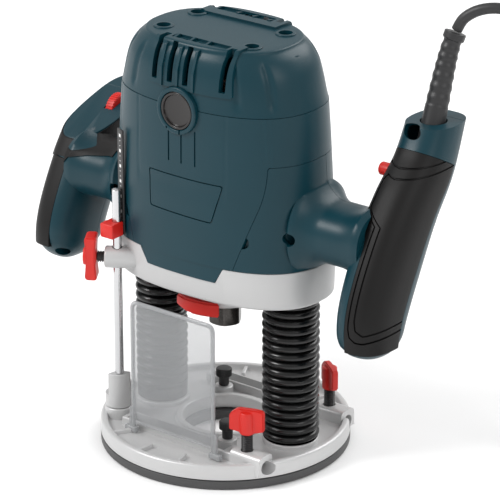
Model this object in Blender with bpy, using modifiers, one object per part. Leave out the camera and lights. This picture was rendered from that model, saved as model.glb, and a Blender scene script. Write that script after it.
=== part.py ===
"""A plunge router: a round base with two guide columns, and a motor head that slides on them.

Metres, +Z up. The origin is the centre of the sole's underside, on the spindle's axis. The user
stands at -Y, the handle with the switch and the cord is at +X. The head is drawn fully raised.
"""

import math

import bmesh
import bpy
from mathutils import Matrix, Vector

GAP = 0.0003
CIRCLE = 2 * math.pi

# Base
BASE_RADIUS = 0.080
SOLE_TOP = 0.006
FLOOR_TOP = 0.0122
RIM_TOP = 0.016
COLUMN_X = 0.0522
COLUMN_RADIUS = 0.009
COLUMN_TOP = 0.185
ROD_WAY_Y = 0.0428
ROD_WAY_Z = 0.0125
ROD_WAY_RADIUS = 0.00425
WING_SCREW_X = 0.0509
KNURLED_AT = (0.026, -0.031)
TURRET_AT = (-0.0566, -0.039)
TURRET_TOP = 0.0435
TURRET_STEP = 0.0075
GUARD_Y = -0.0530

# Head
BRACKET_BOTTOM = 0.112
HOUSING_BOTTOM = 0.137
SHELL_TOP = 0.205
HOUSING_TOP = 0.236
BRUSH_Z = 0.2335
BODY_POWER = 2.4
BODY_WALL = 0.006
SHELL_WALL = 0.003
STOP_ROD_AT = (-0.053, -0.042)
STOP_SCREW_WAY = Vector((-0.84, -0.543, 0)).normalized()
STOP_SCREW_Z = 0.1235
LEVER_AT = (-0.0522, 0.1235)

# Half-width and half-depth of the body at each height: motor housing, then top cap
BODY_SECTIONS = (
    (0.137, 0.0752, 0.0460),
    (0.186, 0.0724, 0.0458),
    (0.213, 0.0705, 0.0456),
    (0.236, 0.0685, 0.0453),
)
CAP_SECTIONS = (
    (0.236, 0.0685, 0.0453),
    (0.257, 0.0630, 0.0434),
    (0.2665, 0.0572, 0.0408),
    (0.2730, 0.0495, 0.0368),
)
BRACKET_SECTIONS = ((0.112, 0.0750, 0.0433), (0.114, 0.0756, 0.0440), (0.137, 0.0758, 0.0464))

# Handles: middle of the section (y, z), its half-width along X and its half-depth across the handle
HANDLE_X = 0.121
HANDLE_LINE = (
    (-0.0125, 0.0935, 0.0160, 0.0205),
    (-0.0090, 0.1200, 0.0172, 0.0245),
    (0.0060, 0.1520, 0.0178, 0.0245),
    (0.0225, 0.1780, 0.0175, 0.0225),
    (0.0410, 0.2000, 0.0168, 0.0200),
    (0.0530, 0.2250, 0.0162, 0.0180),
    (0.0600, 0.2450, 0.0160, 0.0175),
)
HANDLE_POWER = 2.5
HANDLE_END = 0.11
PARTING = 0.008
ARM_Z = 0.160
ARM_Y = 0.003

# Cord, from the strain relief's tip to the coil
CORD_RADIUS = 0.0035
COIL_AT = (0.262, 0.0374)
COIL_RADIUS = 0.0408
COIL_HALF_WIDTH = 0.0137
COIL_HEIGHT = 0.0140
RELIEF_ROUTE = (
    (0.1210, 0.0472, 0.2145),
    (0.1210, 0.0516, 0.2280),
    (0.1212, 0.0563, 0.2425),
    (0.1215, 0.0608, 0.2565),
    (0.1223, 0.0645, 0.2685),
    (0.1240, 0.0680, 0.2790),
)
CORD_ROUTE = (
    (0.1245, 0.0684, 0.2805),
    (0.1285, 0.0700, 0.2880),
    (0.1368, 0.0734, 0.2938),
    (0.1477, 0.0780, 0.2960),
    (0.1590, 0.0828, 0.2935),
    (0.1680, 0.0866, 0.2850),
    (0.1727, 0.0887, 0.2730),
    (0.1742, 0.0896, 0.2500),
    (0.1748, 0.0905, 0.2000),
    (0.1750, 0.0918, 0.1400),
    (0.1750, 0.0932, 0.0800),
    (0.1752, 0.0942, 0.0460),
    (0.1768, 0.0949, 0.0255),
    (0.1815, 0.0953, 0.0120),
    (0.1895, 0.0955, 0.0055),
    (0.1980, 0.0956, 0.0037),
    (0.2080, 0.0957, 0.0036),
    (0.2200, 0.0957, 0.0036),
    (0.2420, 0.0957, 0.0036),
    (0.2640, 0.0957, 0.0036),
)


def new_collection(name):
    collection = bpy.data.collections.new(name)
    bpy.context.scene.collection.children.link(collection)
    return collection


def finish(name, colour, roughness, metallic=0.0, alpha=1.0):
    """A Principled material of one colour."""
    material = bpy.data.materials.new(name)
    material.use_nodes = True
    shader = material.node_tree.nodes["Principled BSDF"]
    shader.inputs["Base Color"].default_value = (*colour, 1.0)
    shader.inputs["Roughness"].default_value = roughness
    shader.inputs["Metallic"].default_value = metallic
    shader.inputs["Alpha"].default_value = alpha
    return material


def add(name, bm, material=None, origin=(0, 0, 0)):
    """Makes the object of a shape built in place, with its origin at the given point.
    A shape with no material is a helper that only cuts or joins others."""
    bm.transform(Matrix.Translation(-Vector(origin)))
    mesh = bpy.data.meshes.new(name)
    bm.to_mesh(mesh)
    bm.free()
    mesh.shade_smooth()
    mesh.set_sharp_from_angle(angle=math.radians(35))
    return add_data(name, mesh, material, origin)


def add_data(name, data, material=None, origin=(0, 0, 0)):
    piece = bpy.data.objects.new(name, data)
    piece.location = origin
    if material is None:
        CUTTERS.objects.link(piece)
        piece.hide_render = True
        piece.display_type = "WIRE"
    else:
        PARTS.objects.link(piece)
        data.materials.append(material)
    return piece


def shape(bm):
    return add("helper", bm)


def with_modifier(piece, operation, others):
    for other in others:
        modifier = piece.modifiers.new(f"{operation.lower()}_{other.name}", "BOOLEAN")
        modifier.operation = operation
        modifier.object = other
    return piece


def join(piece, *others):
    return with_modifier(piece, "UNION", others)


def cut(piece, *others):
    return with_modifier(piece, "DIFFERENCE", others)


def keep_in(piece, *others):
    return with_modifier(piece, "INTERSECT", others)


def soften(piece, width):
    modifier = piece.modifiers.new("edges", "BEVEL")
    modifier.width = width
    modifier.segments = 2
    return piece


def block(low, high, turn=Matrix(), about=None):
    """A box between two opposite corners, then turned about a point."""
    low, high = (Vector([pick(pair) for pair in zip(low, high)]) for pick in (min, max))
    centre = (low + high) / 2
    about = centre if about is None else Vector(about)
    place = Matrix.Translation(about) @ turn @ Matrix.Translation(centre - about)
    bm = bmesh.new()
    bmesh.ops.create_cube(bm, size=1.0, matrix=place @ Matrix.Diagonal((*(high - low), 1.0)))
    return bm


def rod(start, end, radius, end_radius=None, sides=16):
    """A cylinder or cone between two points."""
    start = Vector(start)
    end = Vector(end)
    turn = (end - start).to_track_quat("Z", "Y").to_matrix().to_4x4()
    bm = bmesh.new()
    bmesh.ops.create_cone(
        bm,
        cap_ends=True,
        segments=sides,
        radius1=radius,
        radius2=radius if end_radius is None else end_radius,
        depth=(end - start).length,
        matrix=Matrix.Translation((start + end) / 2) @ turn,
    )
    return bm


def upright(x, y, low, high, radius, sides=16):
    return rod((x, y, low), (x, y, high), radius, sides=sides)


def turned(name, profile, material, at=(0, 0, 0), hollow=False, steps=20):
    """A profile of (radius, height) points, down the outer side, turned round the piece's Z axis."""
    count = len(profile)
    edges = [(i, i + 1) for i in range(count - 1)]
    if hollow:
        edges.append((count - 1, 0))
    mesh = bpy.data.meshes.new(name)
    mesh.from_pydata([(r, 0, z) for r, z in profile], edges, [])
    piece = add_data(name, mesh, material, at)
    screw = piece.modifiers.new("turn", "SCREW")
    screw.steps = steps
    screw.render_steps = steps
    screw.use_merge_vertices = True
    screw.merge_threshold = 0.00001
    return piece


def mesh_of(data):
    """The mesh that a curve makes, with its caps welded on."""
    maker = bpy.data.objects.new("maker", data)
    CUTTERS.objects.link(maker)
    graph = bpy.context.evaluated_depsgraph_get()
    mesh = bpy.data.meshes.new_from_object(maker.evaluated_get(graph))
    bm = bmesh.new()
    bm.from_mesh(mesh)
    bmesh.ops.remove_doubles(bm, verts=bm.verts, dist=0.000001)
    bmesh.ops.recalc_face_normals(bm, faces=bm.faces)
    bpy.data.objects.remove(maker)
    bpy.data.meshes.remove(mesh)
    return bm


def slab(outline, low, high, across="Z"):
    """A flat outline, thick from low to high. Its points are (x, y), or across X (y, z), or across Y (x, z)."""
    data = bpy.data.curves.new("outline", "CURVE")
    data.dimensions = "2D"
    data.fill_mode = "BOTH"
    data.extrude = (high - low) / 2
    spline = data.splines.new("POLY")
    spline.points.add(len(outline) - 1)
    spline.use_cyclic_u = True
    for point, (x, y) in zip(spline.points, outline):
        point.co = (x, y, 0, 1)
    bm = mesh_of(data)
    turns = {
        "Z": Matrix(),
        "X": Matrix(((0, 0, 1, 0), (1, 0, 0, 0), (0, 1, 0, 0), (0, 0, 0, 1))),
        "Y": Matrix(((1, 0, 0, 0), (0, 0, 1, 0), (0, 1, 0, 0), (0, 0, 0, 1))),
    }
    bm.transform(turns[across] @ Matrix.Translation((0, 0, (low + high) / 2)))
    bmesh.ops.recalc_face_normals(bm, faces=bm.faces)
    return bm


def loft(rings):
    """A skin from ring to ring, closed at both ends."""
    bm = bmesh.new()
    rows = [[bm.verts.new(point) for point in ring] for ring in rings]
    count = len(rows[0])
    for lower, upper in zip(rows, rows[1:]):
        for i in range(count):
            j = (i + 1) % count
            bm.faces.new((lower[i], lower[j], upper[j], upper[i]))
    bm.faces.new(rows[0])
    bm.faces.new(rows[-1])
    bmesh.ops.recalc_face_normals(bm, faces=bm.faces)
    return bm


def oval(half_u, half_v, power, count):
    """Points of a superellipse: power 2 is an ellipse, more is squarer."""
    points = []
    for i in range(count):
        c = math.cos(CIRCLE * (i + 0.5) / count)
        s = math.sin(CIRCLE * (i + 0.5) / count)
        u = math.copysign(abs(c) ** (2 / power), c) * half_u
        v = math.copysign(abs(s) ** (2 / power), s) * half_v
        points.append((u, v))
    return points


def smooth(points, u):
    """A point of the smooth curve through the given points, with u from 0 to 1."""
    last = len(points) - 1
    i = min(int(u * last), last - 1)
    t = u * last - i
    before, start, end, after = (points[min(max(k, 0), last)] for k in (i - 1, i, i + 1, i + 2))
    return tuple(
        b + t / 2 * (c - a + t * (2 * a - 5 * b + 4 * c - d + t * (3 * (b - c) + d - a)))
        for a, b, c, d in zip(before, start, end, after)
    )


def body(sections, inset=0.0, count=28):
    """The body's outer form between its sections, drawn in by inset."""
    return loft(
        [(x, y, z) for x, y in oval(a - inset, b - inset, BODY_POWER, count)] for z, a, b in sections
    )


# ---- Base ----


def make_sole():
    hole = 0.0235
    profile = [(BASE_RADIUS - 0.001, SOLE_TOP - GAP), (BASE_RADIUS, SOLE_TOP - 0.001), (BASE_RADIUS, 0.0012)]
    profile += [(BASE_RADIUS - 0.0012, 0), (hole, 0), (hole, SOLE_TOP - GAP)]
    sole = turned("base_sole", profile, BLACK_PLASTIC, hollow=True, steps=40)
    for number, angle in enumerate((25, 155, 270), 1):
        x = 0.067 * math.cos(math.radians(angle))
        y = 0.067 * math.sin(math.radians(angle))
        cut(sole, shape(upright(x, y, -0.001, 0.0030, 0.0045, 12)), shape(upright(x, y, 0.002, 0.008, 0.0025, 8)))
        cut(PLATE, shape(upright(x, y, 0.004, 0.0112, 0.0025, 8)))
        screw = add(f"sole_screw_{number}", upright(x, y, 0.0006, 0.0027, 0.0040, 12), STEEL, (x, y, 0))
        join(screw, shape(upright(x, y, 0.0020, 0.0108, 0.0020, 8)))
        cut(screw, shape(block((x - 0.0005, y - 0.003, 0), (x + 0.0005, y + 0.003, 0.0015))))


def make_base_plate():
    profile = [(BASE_RADIUS - 0.0012, RIM_TOP), (BASE_RADIUS, RIM_TOP - 0.0012), (BASE_RADIUS, SOLE_TOP + GAP)]
    profile += [(0.0275, SOLE_TOP + GAP), (0.0275, 0.0152), (0.0315, 0.0152), (0.0322, FLOOR_TOP)]
    profile += [(0.0745, FLOOR_TOP), (0.0757, RIM_TOP)]
    plate = turned("base_plate", profile, ALUMINIUM, hollow=True, steps=40)
    under = 0.008
    for side in (1, -1):
        y = side * ROD_WAY_Y
        join(plate, shape(block((-0.046, y - 0.007, under), (0.0655, y + 0.007, 0.0205))))
        join(plate, shape(upright(side * COLUMN_X, 0, under, 0.0153, 0.0175)))
        join(plate, shape(upright(side * KNURLED_AT[0], side * KNURLED_AT[1], under, 0.0170, 0.0062)))
    join(plate, shape(upright(*TURRET_AT, under, 0.0197, 0.0085)))
    for side in (1, -1):
        y = side * ROD_WAY_Y
        cut(plate, shape(block((-0.042, y - 0.0044, 0.0085), (0.036, y + 0.0044, 0.03))))
        cut(plate, shape(rod((0.03, y, ROD_WAY_Z), (0.09, y, ROD_WAY_Z), ROD_WAY_RADIUS)))
        cut(plate, shape(upright(WING_SCREW_X, y, 0.0125, 0.03, 0.0040, 16)))
        cut(plate, shape(upright(side * COLUMN_X, 0, 0.002, 0.03, COLUMN_RADIUS + GAP, 20)))
        cut(plate, shape(upright(side * KNURLED_AT[0], side * KNURLED_AT[1], 0.0075, 0.03, 0.0028, 12)))
    cut(plate, shape(upright(*TURRET_AT, 0.0095, 0.03, 0.0022, 12)))
    return plate


def make_columns():
    for name, side in (("left", -1), ("right", 1)):
        at = (side * COLUMN_X, 0, 0)
        bore = 0.0066
        foot = SOLE_TOP + GAP
        profile = [(0, 0.0120), (bore, 0.0120), (bore, COLUMN_TOP), (COLUMN_RADIUS - 0.0008, COLUMN_TOP)]
        profile += [(COLUMN_RADIUS, COLUMN_TOP - 0.001), (COLUMN_RADIUS, foot), (0, foot)]
        turned(f"column_{name}", profile, STEEL, at)
        make_bellows(name, at)
        make_spring(name, at)


def make_bellows(name, at):
    """Rubber folds over a column, from the base to the bracket."""
    low = 0.0157
    high = BRACKET_BOTTOM - GAP
    folds = 9
    outer = 0.0182 if name == "right" else 0.0168
    inner = 0.0096
    pitch = (high - low) / folds
    profile = []
    for fold in range(folds):
        top = high - fold * pitch
        profile += [(outer - 0.0032, top), (outer, top - pitch / 2)]
    profile += [(outer - 0.0032, low), (inner, low), (inner, high)]
    turned(f"bellows_{name}", profile, RUBBER, at, hollow=True, steps=12)


def make_spring(name, at):
    low = 0.0132
    high = 0.1850
    turns = 9
    steps = 6
    wire = 0.0007
    data = bpy.data.curves.new(f"plunge_spring_{name}", "CURVE")
    data.dimensions = "3D"
    data.bevel_depth = wire
    data.bevel_resolution = 0
    data.use_fill_caps = True
    spline = data.splines.new("POLY")
    spline.points.add(turns * steps)
    for i, point in enumerate(spline.points):
        angle = CIRCLE * i / steps
        z = low + (high - low) * i / (turns * steps)
        point.co = (0.0049 * math.cos(angle), 0.0049 * math.sin(angle), z, 1)
    add_data(data.name, data, SPRING_STEEL, at)


def make_guard():
    half = 0.031
    panel = block((-half, GUARD_Y - 0.001, 0.0190), (half, GUARD_Y + 0.001, 0.1020))
    guard = add("chip_guard", panel, CLEAR, (0, GUARD_Y, 0.0190))
    for side in (1, -1):
        join(guard, shape(upright(side * half, GUARD_Y, 0.0165, 0.1020, 0.0024, 12)))
        foot = block((side * 0.034 - 0.005, GUARD_Y - 0.002, 0.0126), (side * 0.034 + 0.005, GUARD_Y + 0.002, 0.0240))
        join(guard, shape(foot))


def sector(start, end, radius, at):
    """Outline of a slice of a disc, between two angles in degrees."""
    points = [at]
    for step in range(7):
        angle = math.radians(start + (end - start) * step / 6)
        points.append((at[0] + radius * math.cos(angle), at[1] + radius * math.sin(angle)))
    return points


def make_turret():
    """Three steps that the depth rod can land on; the highest faces the rod."""
    x, y = TURRET_AT
    turret = add("stop_turret", upright(x, y, 0.0200, TURRET_TOP, 0.0083), ALUMINIUM, (x, y, 0.0200))
    for step, start, end in ((1, 20, 143), (2, 140, 260)):
        level = TURRET_TOP - step * TURRET_STEP
        cut(turret, shape(slab(sector(start, end, 0.012, TURRET_AT), level, 0.05)))
    cut(turret, shape(upright(x, y, 0.010, 0.060, 0.0026, 12)))
    screw = add("turret_screw", upright(x, y, 0.0100, 0.0285, 0.0019, 12), STEEL, (x, y, 0.0200))
    join(screw, shape(upright(x, y, 0.0270, 0.0420, 0.0022, 12)))


def make_guide_screws():
    """Hand screws that clamp the parallel guide's rods: a black stub with a red wing."""
    for name, side in (("front", -1), ("rear", 1)):
        x = WING_SCREW_X
        y = side * ROD_WAY_Y
        turn = Matrix.Rotation(math.radians(20 if side < 0 else -35), 4, "Z")
        screw = add(f"guide_screw_{name}", upright(x, y, 0.0172, 0.0330, 0.0037, 16), RED, (x, y, 0.0330))
        join(screw, shape(upright(x, y, 0.0310, 0.0450, 0.0048, 16)))
        join(screw, shape(block((x - 0.011, y - 0.0022, 0.0335), (x + 0.011, y + 0.0022, 0.0485), turn)))


def make_knurled_screws():
    for name, side in (("front", 1), ("rear", -1)):
        x = side * KNURLED_AT[0]
        y = side * KNURLED_AT[1]
        screw = add(f"ring_screw_{name}", upright(x, y, 0.0085, 0.0225, 0.0025, 12), BLACK_PLASTIC, (x, y, 0.0170))
        join(screw, shape(upright(x, y, 0.0172, 0.0235, 0.0034, 16)), shape(upright(x, y, 0.0230, 0.0290, 0.0052, 20)))


# ---- Head: castings and housings ----


def make_bracket():
    bracket = add("motor_bracket", body(BRACKET_SECTIONS), ALUMINIUM, (0, 0, BRACKET_BOTTOM))
    room = ((0.1180, 0.0690, 0.0390), (0.1400, 0.0690, 0.0395))
    cut(bracket, shape(body(room)))
    join(bracket, shape(upright(0, 0, 0.1003, 0.1150, 0.0300, 28)), shape(upright(0, 0, 0.1130, 0.1255, 0.0210, 20)))
    for side in (1, -1):
        join(bracket, shape(upright(side * COLUMN_X, 0, 0.1130, 0.1580, 0.0135)))
    x, y = STOP_ROD_AT
    centre = Vector((x, y, STOP_SCREW_Z))
    join(bracket, shape(rod(centre - STOP_SCREW_WAY * 0.0145, centre + STOP_SCREW_WAY * 0.0078, 0.0070)))
    cut(bracket, shape(upright(x, y, 0.10, 0.15, 0.0033, 16)))
    cut(bracket, shape(rod(centre + STOP_SCREW_WAY * 0.002, centre + STOP_SCREW_WAY * 0.012, 0.0029, sides=12)))
    cut(bracket, shape(upright(0, 0, 0.1137, 0.1400, 0.0175, 20)), shape(upright(0, 0, 0.09, 0.12, 0.0125, 20)))
    for side in (1, -1):
        cut(bracket, shape(upright(side * COLUMN_X, 0, 0.10, 0.17, 0.0112, 20)))
    cut(bracket, shape(block((-0.019, -0.040, 0.0950), (0.0230, -0.0262, 0.1068))))
    cut(bracket, shape(rod((0.003, -0.035, 0.1010), (0.003, -0.005, 0.1010), 0.0028, sides=12)))
    cut(bracket, shape(slab(tongue(GAP), -0.0600, -0.0424, "Y")))
    x, z = LEVER_AT
    cut(bracket, shape(rod((x, 0.0122, z), (x, 0.0600, z), 0.0039, sides=12)))


def tongue(gap=0.0):
    """Outline of the housing's lower front lip, which overlaps the bracket."""
    low = 0.1270
    return [
        (-0.0265 - gap, low - gap),
        (0.0265 + gap, low - gap),
        (0.0330 + gap, HOUSING_BOTTOM + 0.001),
        (-0.0330 - gap, HOUSING_BOTTOM + 0.001),
    ]


def make_bushes():
    for name, side in (("left", -1), ("right", 1)):
        profile = [(0.0109, 0.1575), (0.0109, 0.1126), (0.0093, 0.1126), (0.0093, 0.1575)]
        turned(f"guide_bush_{name}", profile, BRONZE, (side * COLUMN_X, 0, 0), hollow=True, steps=20)


def saddle_outline(side, gap=0.0):
    """Where a handle shell lies over the housing, seen from the front."""
    points = [(0.0365 - gap, 0.1300), (0.0580 - gap, 0.1870), (0.0580 - gap, SHELL_TOP + gap)]
    points += [(0.0950, SHELL_TOP + gap), (0.0950, 0.1300)]
    return [(side * x, z) for x, z in points]


def shell_seat(side):
    """What the handle shell's seat takes off the housing."""
    seat = shape(slab(saddle_outline(side, GAP), -0.060, 0.060, "Y"))
    return cut(seat, seat_core())


def seat_core():
    """The housing's form under the handle shells, taller than the housing so that it cuts cleanly."""
    low = (0.100, BODY_SECTIONS[0][1] + 0.0020, BODY_SECTIONS[0][2])
    return shape(body((low, *BODY_SECTIONS), SHELL_WALL))


def make_housing():
    start = HOUSING_BOTTOM + GAP
    sections = ((start, *BODY_SECTIONS[0][1:]), *BODY_SECTIONS[1:3], (HOUSING_TOP - GAP, *BODY_SECTIONS[3][1:]))
    housing = add("motor_housing", body(sections), TEAL, (0, 0, HOUSING_BOTTOM))
    lip = shape(slab(tongue(), -0.0460, -0.0427, "Y"))
    join(housing, keep_in(lip, shape(body(((0.120, 0.0752, 0.0462), (0.139, 0.0752, 0.0462))))))
    for side in (1, -1):
        cut(housing, shell_seat(side))
    room = [(0.1270, *BODY_SECTIONS[0][1:]), *BODY_SECTIONS, (0.2600, *BODY_SECTIONS[3][1:])]
    cut(housing, shape(body(room, BODY_WALL)))
    for side in (1, -1):
        join(housing, shape(rod((0, side * 0.0340, BRUSH_Z), (0, side * 0.0478, BRUSH_Z), 0.0150)))
        join(housing, shape(rod((0, side * 0.0160, BRUSH_Z), (0, side * 0.0350, BRUSH_Z), 0.0085, sides=16)))
        cut(housing, shape(rod((0, side * 0.0372, BRUSH_Z), (0, side * 0.0550, BRUSH_Z), 0.0123)))
        brush_way = block((-0.0034, side * 0.0140, BRUSH_Z - 0.0044), (0.0034, side * 0.0400, BRUSH_Z + 0.0044))
        cut(housing, shape(brush_way), shape(arm(side, SHELL_WALL, 0.055, 0.090)))


def make_cap():
    sections = ((HOUSING_TOP, *CAP_SECTIONS[0][1:]), *CAP_SECTIONS[1:])
    cap = add("top_cap", body(sections), TEAL, (0, 0, HOUSING_TOP))
    cut(cap, shape(body(((0.2300, *CAP_SECTIONS[0][1:]), *CAP_SECTIONS[:3], (0.2695, 0.0540, 0.0390)), SHELL_WALL)))
    for side in (1, -1):
        join(cap, shape(upright(side * COLUMN_X, 0, 0.1862, 0.2680, 0.0044, 12)))
        for way in (1, -1):
            join(cap, shape(upright(side * 0.0343, way * 0.0166, 0.2400, 0.2700, 0.0068, 16)))
    join(cap, shape(upright(0, 0, 0.2460, 0.2700, 0.0145)))
    cut(cap, shape(upright(0, 0, 0.2400, 0.2560, 0.0113)))
    for side in (1, -1):
        cut(cap, shape(rod((0, side * 0.0300, BRUSH_Z), (0, side * 0.0550, BRUSH_Z), 0.0153)))
        for way in (1, -1):
            x = side * 0.0343
            y = way * 0.0166
            cut(cap, shape(upright(x, y, 0.2595, 0.2800, 0.0046, 16)))
            cut(cap, shape(upright(x, y, 0.2350, 0.2610, 0.0022, 12)))
        for middle in (-0.0195, -0.0070, 0.0050, 0.0310):
            x = middle * side
            cut(cap, shape(block((x - 0.0022, side * -0.0300, 0.2500), (x + 0.0022, side * -0.0480, 0.2800))))


def make_cap_screws():
    number = 0
    for side in (1, -1):
        for way in (1, -1):
            number += 1
            x = side * 0.0343
            y = way * 0.0166
            screw = add(f"cap_screw_{number}", upright(x, y, 0.2600, 0.2632, 0.0038, 16), STEEL, (x, y, 0.2600))
            join(screw, shape(upright(x, y, 0.2420, 0.2605, 0.0018, 10)))
            cut(screw, shape(upright(x, y, 0.2616, 0.2650, 0.0016, 6)))


# ---- Head: handles ----


def handle_frame(u):
    """Middle (y, z), its direction along the handle and its half sizes, at u from bottom to top."""
    y, z, half_width, half_depth = smooth(HANDLE_LINE, u)
    before = smooth(HANDLE_LINE, max(u - 0.01, 0))
    after = smooth(HANDLE_LINE, min(u + 0.01, 1))
    along = Vector((after[0] - before[0], after[1] - before[1])).normalized()
    return Vector((y, z)), along, half_width, half_depth


def handle(side, inset=0.0, start=0.0, end=1.0, rings=10, round_end=True, count=16):
    """The handle's form, drawn in by inset, with a round lower end."""
    made = []
    for step in range(rings + 1):
        u = start + (end - start) * (step / rings) ** 1.35
        middle, along, half_width, half_depth = handle_frame(u)
        near = min((u - start) / HANDLE_END, 1.0)
        scale = math.sqrt(1 - (1 - near) ** 2 * 0.86) if round_end else 1.0
        ring = oval((half_width - inset) * scale, (half_depth - inset) * scale, HANDLE_POWER, count)
        made.append(
            [(side * (HANDLE_X + u_), middle[0] + along[1] * v_, middle[1] - along[0] * v_) for u_, v_ in ring]
        )
    return loft(made)


def arm(side, inset, start, end):
    """The arm from the housing to a handle, wider at both ends."""
    rings = []
    for step in range(7):
        x = start + (end - start) * step / 6
        flare = max(0.0, 1 - abs(x - 0.070) / 0.016) ** 2
        flare_out = max(0.0, 1 - abs(x - 0.112) / 0.014) ** 2
        half_y = 0.0225 + 0.008 * flare + 0.001 * flare_out - inset
        half_z = 0.0185 + 0.012 * flare + 0.005 * flare_out - inset
        rings.append([(side * x, ARM_Y + y, ARM_Z + z) for y, z in oval(half_y, half_z, 2.3, 16)])
    return loft(rings)


def parting_line(gap):
    """Where the handle's two shells meet, behind its middle, as (y, z) from bottom to top."""
    points = []
    for step in range(11):
        middle, along, _, _ = handle_frame(step / 10)
        shift = PARTING + gap
        points.append((middle[0] + along[1] * shift, middle[1] - along[0] * shift))
    bottom = (points[0][0], 0.062)
    top = (points[-1][0] + 0.02, 0.295)
    return [bottom, *points, top]


def front_region(side, gap=0.0):
    """The front shell's space, grown by gap: split straight at the body, along a curve at the grip."""
    region = shape(block((side * 0.020, -0.12, 0.06), (side * (0.1010 + gap), 0.010 + gap, 0.30)))
    outline = [*parting_line(gap), (-0.118, 0.295), (-0.118, 0.062)]
    limits = sorted((side * (0.1005 - gap), side * 0.160))
    return join(region, shape(slab(outline, *limits, "X")))


def grip_outline(side, gap=0.0):
    """Where the soft grip lies on the front shell, seen from the front."""
    points = [(0.1180 - gap, 0.085), (0.150, 0.085), (0.150, 0.250)]
    if side > 0:
        points += [(0.095, 0.250), (0.095, 0.1870 - gap), (0.1125 - gap, 0.1785 - gap), (0.1180 - gap, 0.1650)]
    else:
        points.append((0.1180 - gap, 0.250))
    return [(side * x, z) for x, z in points]


def top_cutter(side, depth=0.0):
    """What is taken off the handle's top: level on the right, sloping to the front on the left."""
    if side > 0:
        return shape(block((0.09, -0.02, 0.2265 - depth), (0.15, 0.12, 0.300)))
    slope = Matrix.Rotation(math.radians(18), 4, "X")
    at = (-0.12, 0.031, 0.1905 - depth)
    return shape(block((-0.16, -0.05, at[2]), (-0.09, 0.12, at[2] + 0.08), slope, at))


def handle_foot(side):
    """Where the handle's form starts: the left one is a little shorter."""
    return 0.0 if side > 0 else 0.050


def handle_room(side):
    """The hollow in a handle and its arm."""
    room = shape(handle(side, SHELL_WALL, handle_foot(side) + 0.025, 0.98))
    cut(room, top_cutter(side, SHELL_WALL))
    return join(room, shape(arm(side, SHELL_WALL, 0.050, 0.112)))


def make_handle(side):
    """One handle: front and rear shells that also wrap the housing's side, and the soft grip."""
    name = "right" if side > 0 else "left"
    grip_top = 0.70 if side > 0 else 0.585
    skin = 0.002
    head = 0.010
    foot = handle_foot(side)
    grip_bottom = foot + 0.055
    for half in ("front", "rear"):
        shell = add(f"handle_{name}_{half}", body(BODY_SECTIONS), TEAL, (side * HANDLE_X, 0, ARM_Z))
        keep_in(shell, shape(slab(saddle_outline(side), -0.060, 0.060, "Y")))
        form = cut(shape(handle(side, start=foot)), top_cutter(side))
        join(shell, form, shape(arm(side, 0.0, 0.060, 0.116)))
        cut(shell, shape(body(((0.110, 0.0762, 0.0466), *BODY_SECTIONS, (0.260, 0.066, 0.044)), SHELL_WALL - GAP)))
        cut(shell, shape(block((side * 0.0300, -0.06, 0.10), (side * 0.0766, 0.06, HOUSING_BOTTOM + GAP))))
        cut(shell, handle_room(side))
        if half == "front":
            seat = shape(handle(side, -0.001, grip_bottom - 0.002, grip_top + 0.002, 8, False))
            cut(seat, shape(handle(side, skin + GAP, foot + 0.010, 0.99)))
            keep_in(seat, shape(slab(grip_outline(side, GAP), -0.10, 0.12, "Y")))
            cut(shell, cut(seat, top_cutter(side, head - GAP)))
            keep_in(shell, front_region(side))
        else:
            cut(shell, front_region(side, GAP))
        SHELLS[name, half] = shell
    soft = handle(side, 0.0, grip_bottom, grip_top, 8, False)
    grip = add(f"grip_{name}", soft, RUBBER, (side * HANDLE_X, 0, ARM_Z))
    cut(grip, shape(handle(side, skin, foot + 0.010, 0.99)), top_cutter(side, head))
    keep_in(grip, shape(slab(grip_outline(side), -0.10, 0.12, "Y")), front_region(side))
    SHELLS[name, "grip"] = grip


def in_handle(low, high, u=0.42, side=1):
    """A box set square to the handle at u: X across, Y to the rear, Z along the handle."""
    middle, along, _, _ = handle_frame(u)
    turn = Matrix.Rotation(-math.atan2(along[0], along[1]), 4, "X")
    bm = block(low, high)
    bm.transform(Matrix.Translation((side * HANDLE_X, *middle)) @ turn)
    return bm


def make_switch():
    cut(SHELLS["right", "rear"], shape(in_handle((-0.0068, 0.0060, -0.0190), (0.0068, 0.0400, 0.0190))))
    middle, _, _, _ = handle_frame(0.42)
    at = (HANDLE_X, *middle)
    trigger = in_handle((-0.0063, 0.0140, -0.0184), (0.0063, 0.0305, 0.0184))
    soften(add("switch_trigger", trigger, BLACK_PLASTIC, at), 0.002)
    add("switch_module", in_handle((-0.0095, -0.0140, -0.0200), (0.0095, 0.0072, 0.0200)), BLACK_PLASTIC, at)
    x, y, z = (0.1005, 0.0262, 0.1985)
    way = shape(rod((x - 0.005, y, z), (x + 0.0160, y, z), 0.0046, sides=16))
    cut(SHELLS["right", "front"], way)
    cut(SHELLS["right", "grip"], way)
    soften(add("lock_on_button", rod((x, y, z), (x + 0.0120, y, z), 0.0042, sides=16), RED, (x, y, z)), 0.0008)


def make_speed_dial():
    x, y, z = (-0.1175, 0.0368, 0.1860)
    way = shape(rod((x - 0.0036, y, z), (x + 0.0036, y, z), 0.0112))
    cut(SHELLS["left", "front"], way)
    cut(SHELLS["left", "rear"], way)
    soften(add("speed_dial", rod((x - 0.0030, y, z), (x + 0.0030, y, z), 0.0105), RED, (x, y, z)), 0.0006)


# ---- Head: motor and spindle ----


def ring(name, outer, inner, low, high, material, steps=20):
    profile = [(outer, high), (outer, low), (inner, low), (inner, high)]
    return turned(name, profile, material, hollow=True, steps=steps)


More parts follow.
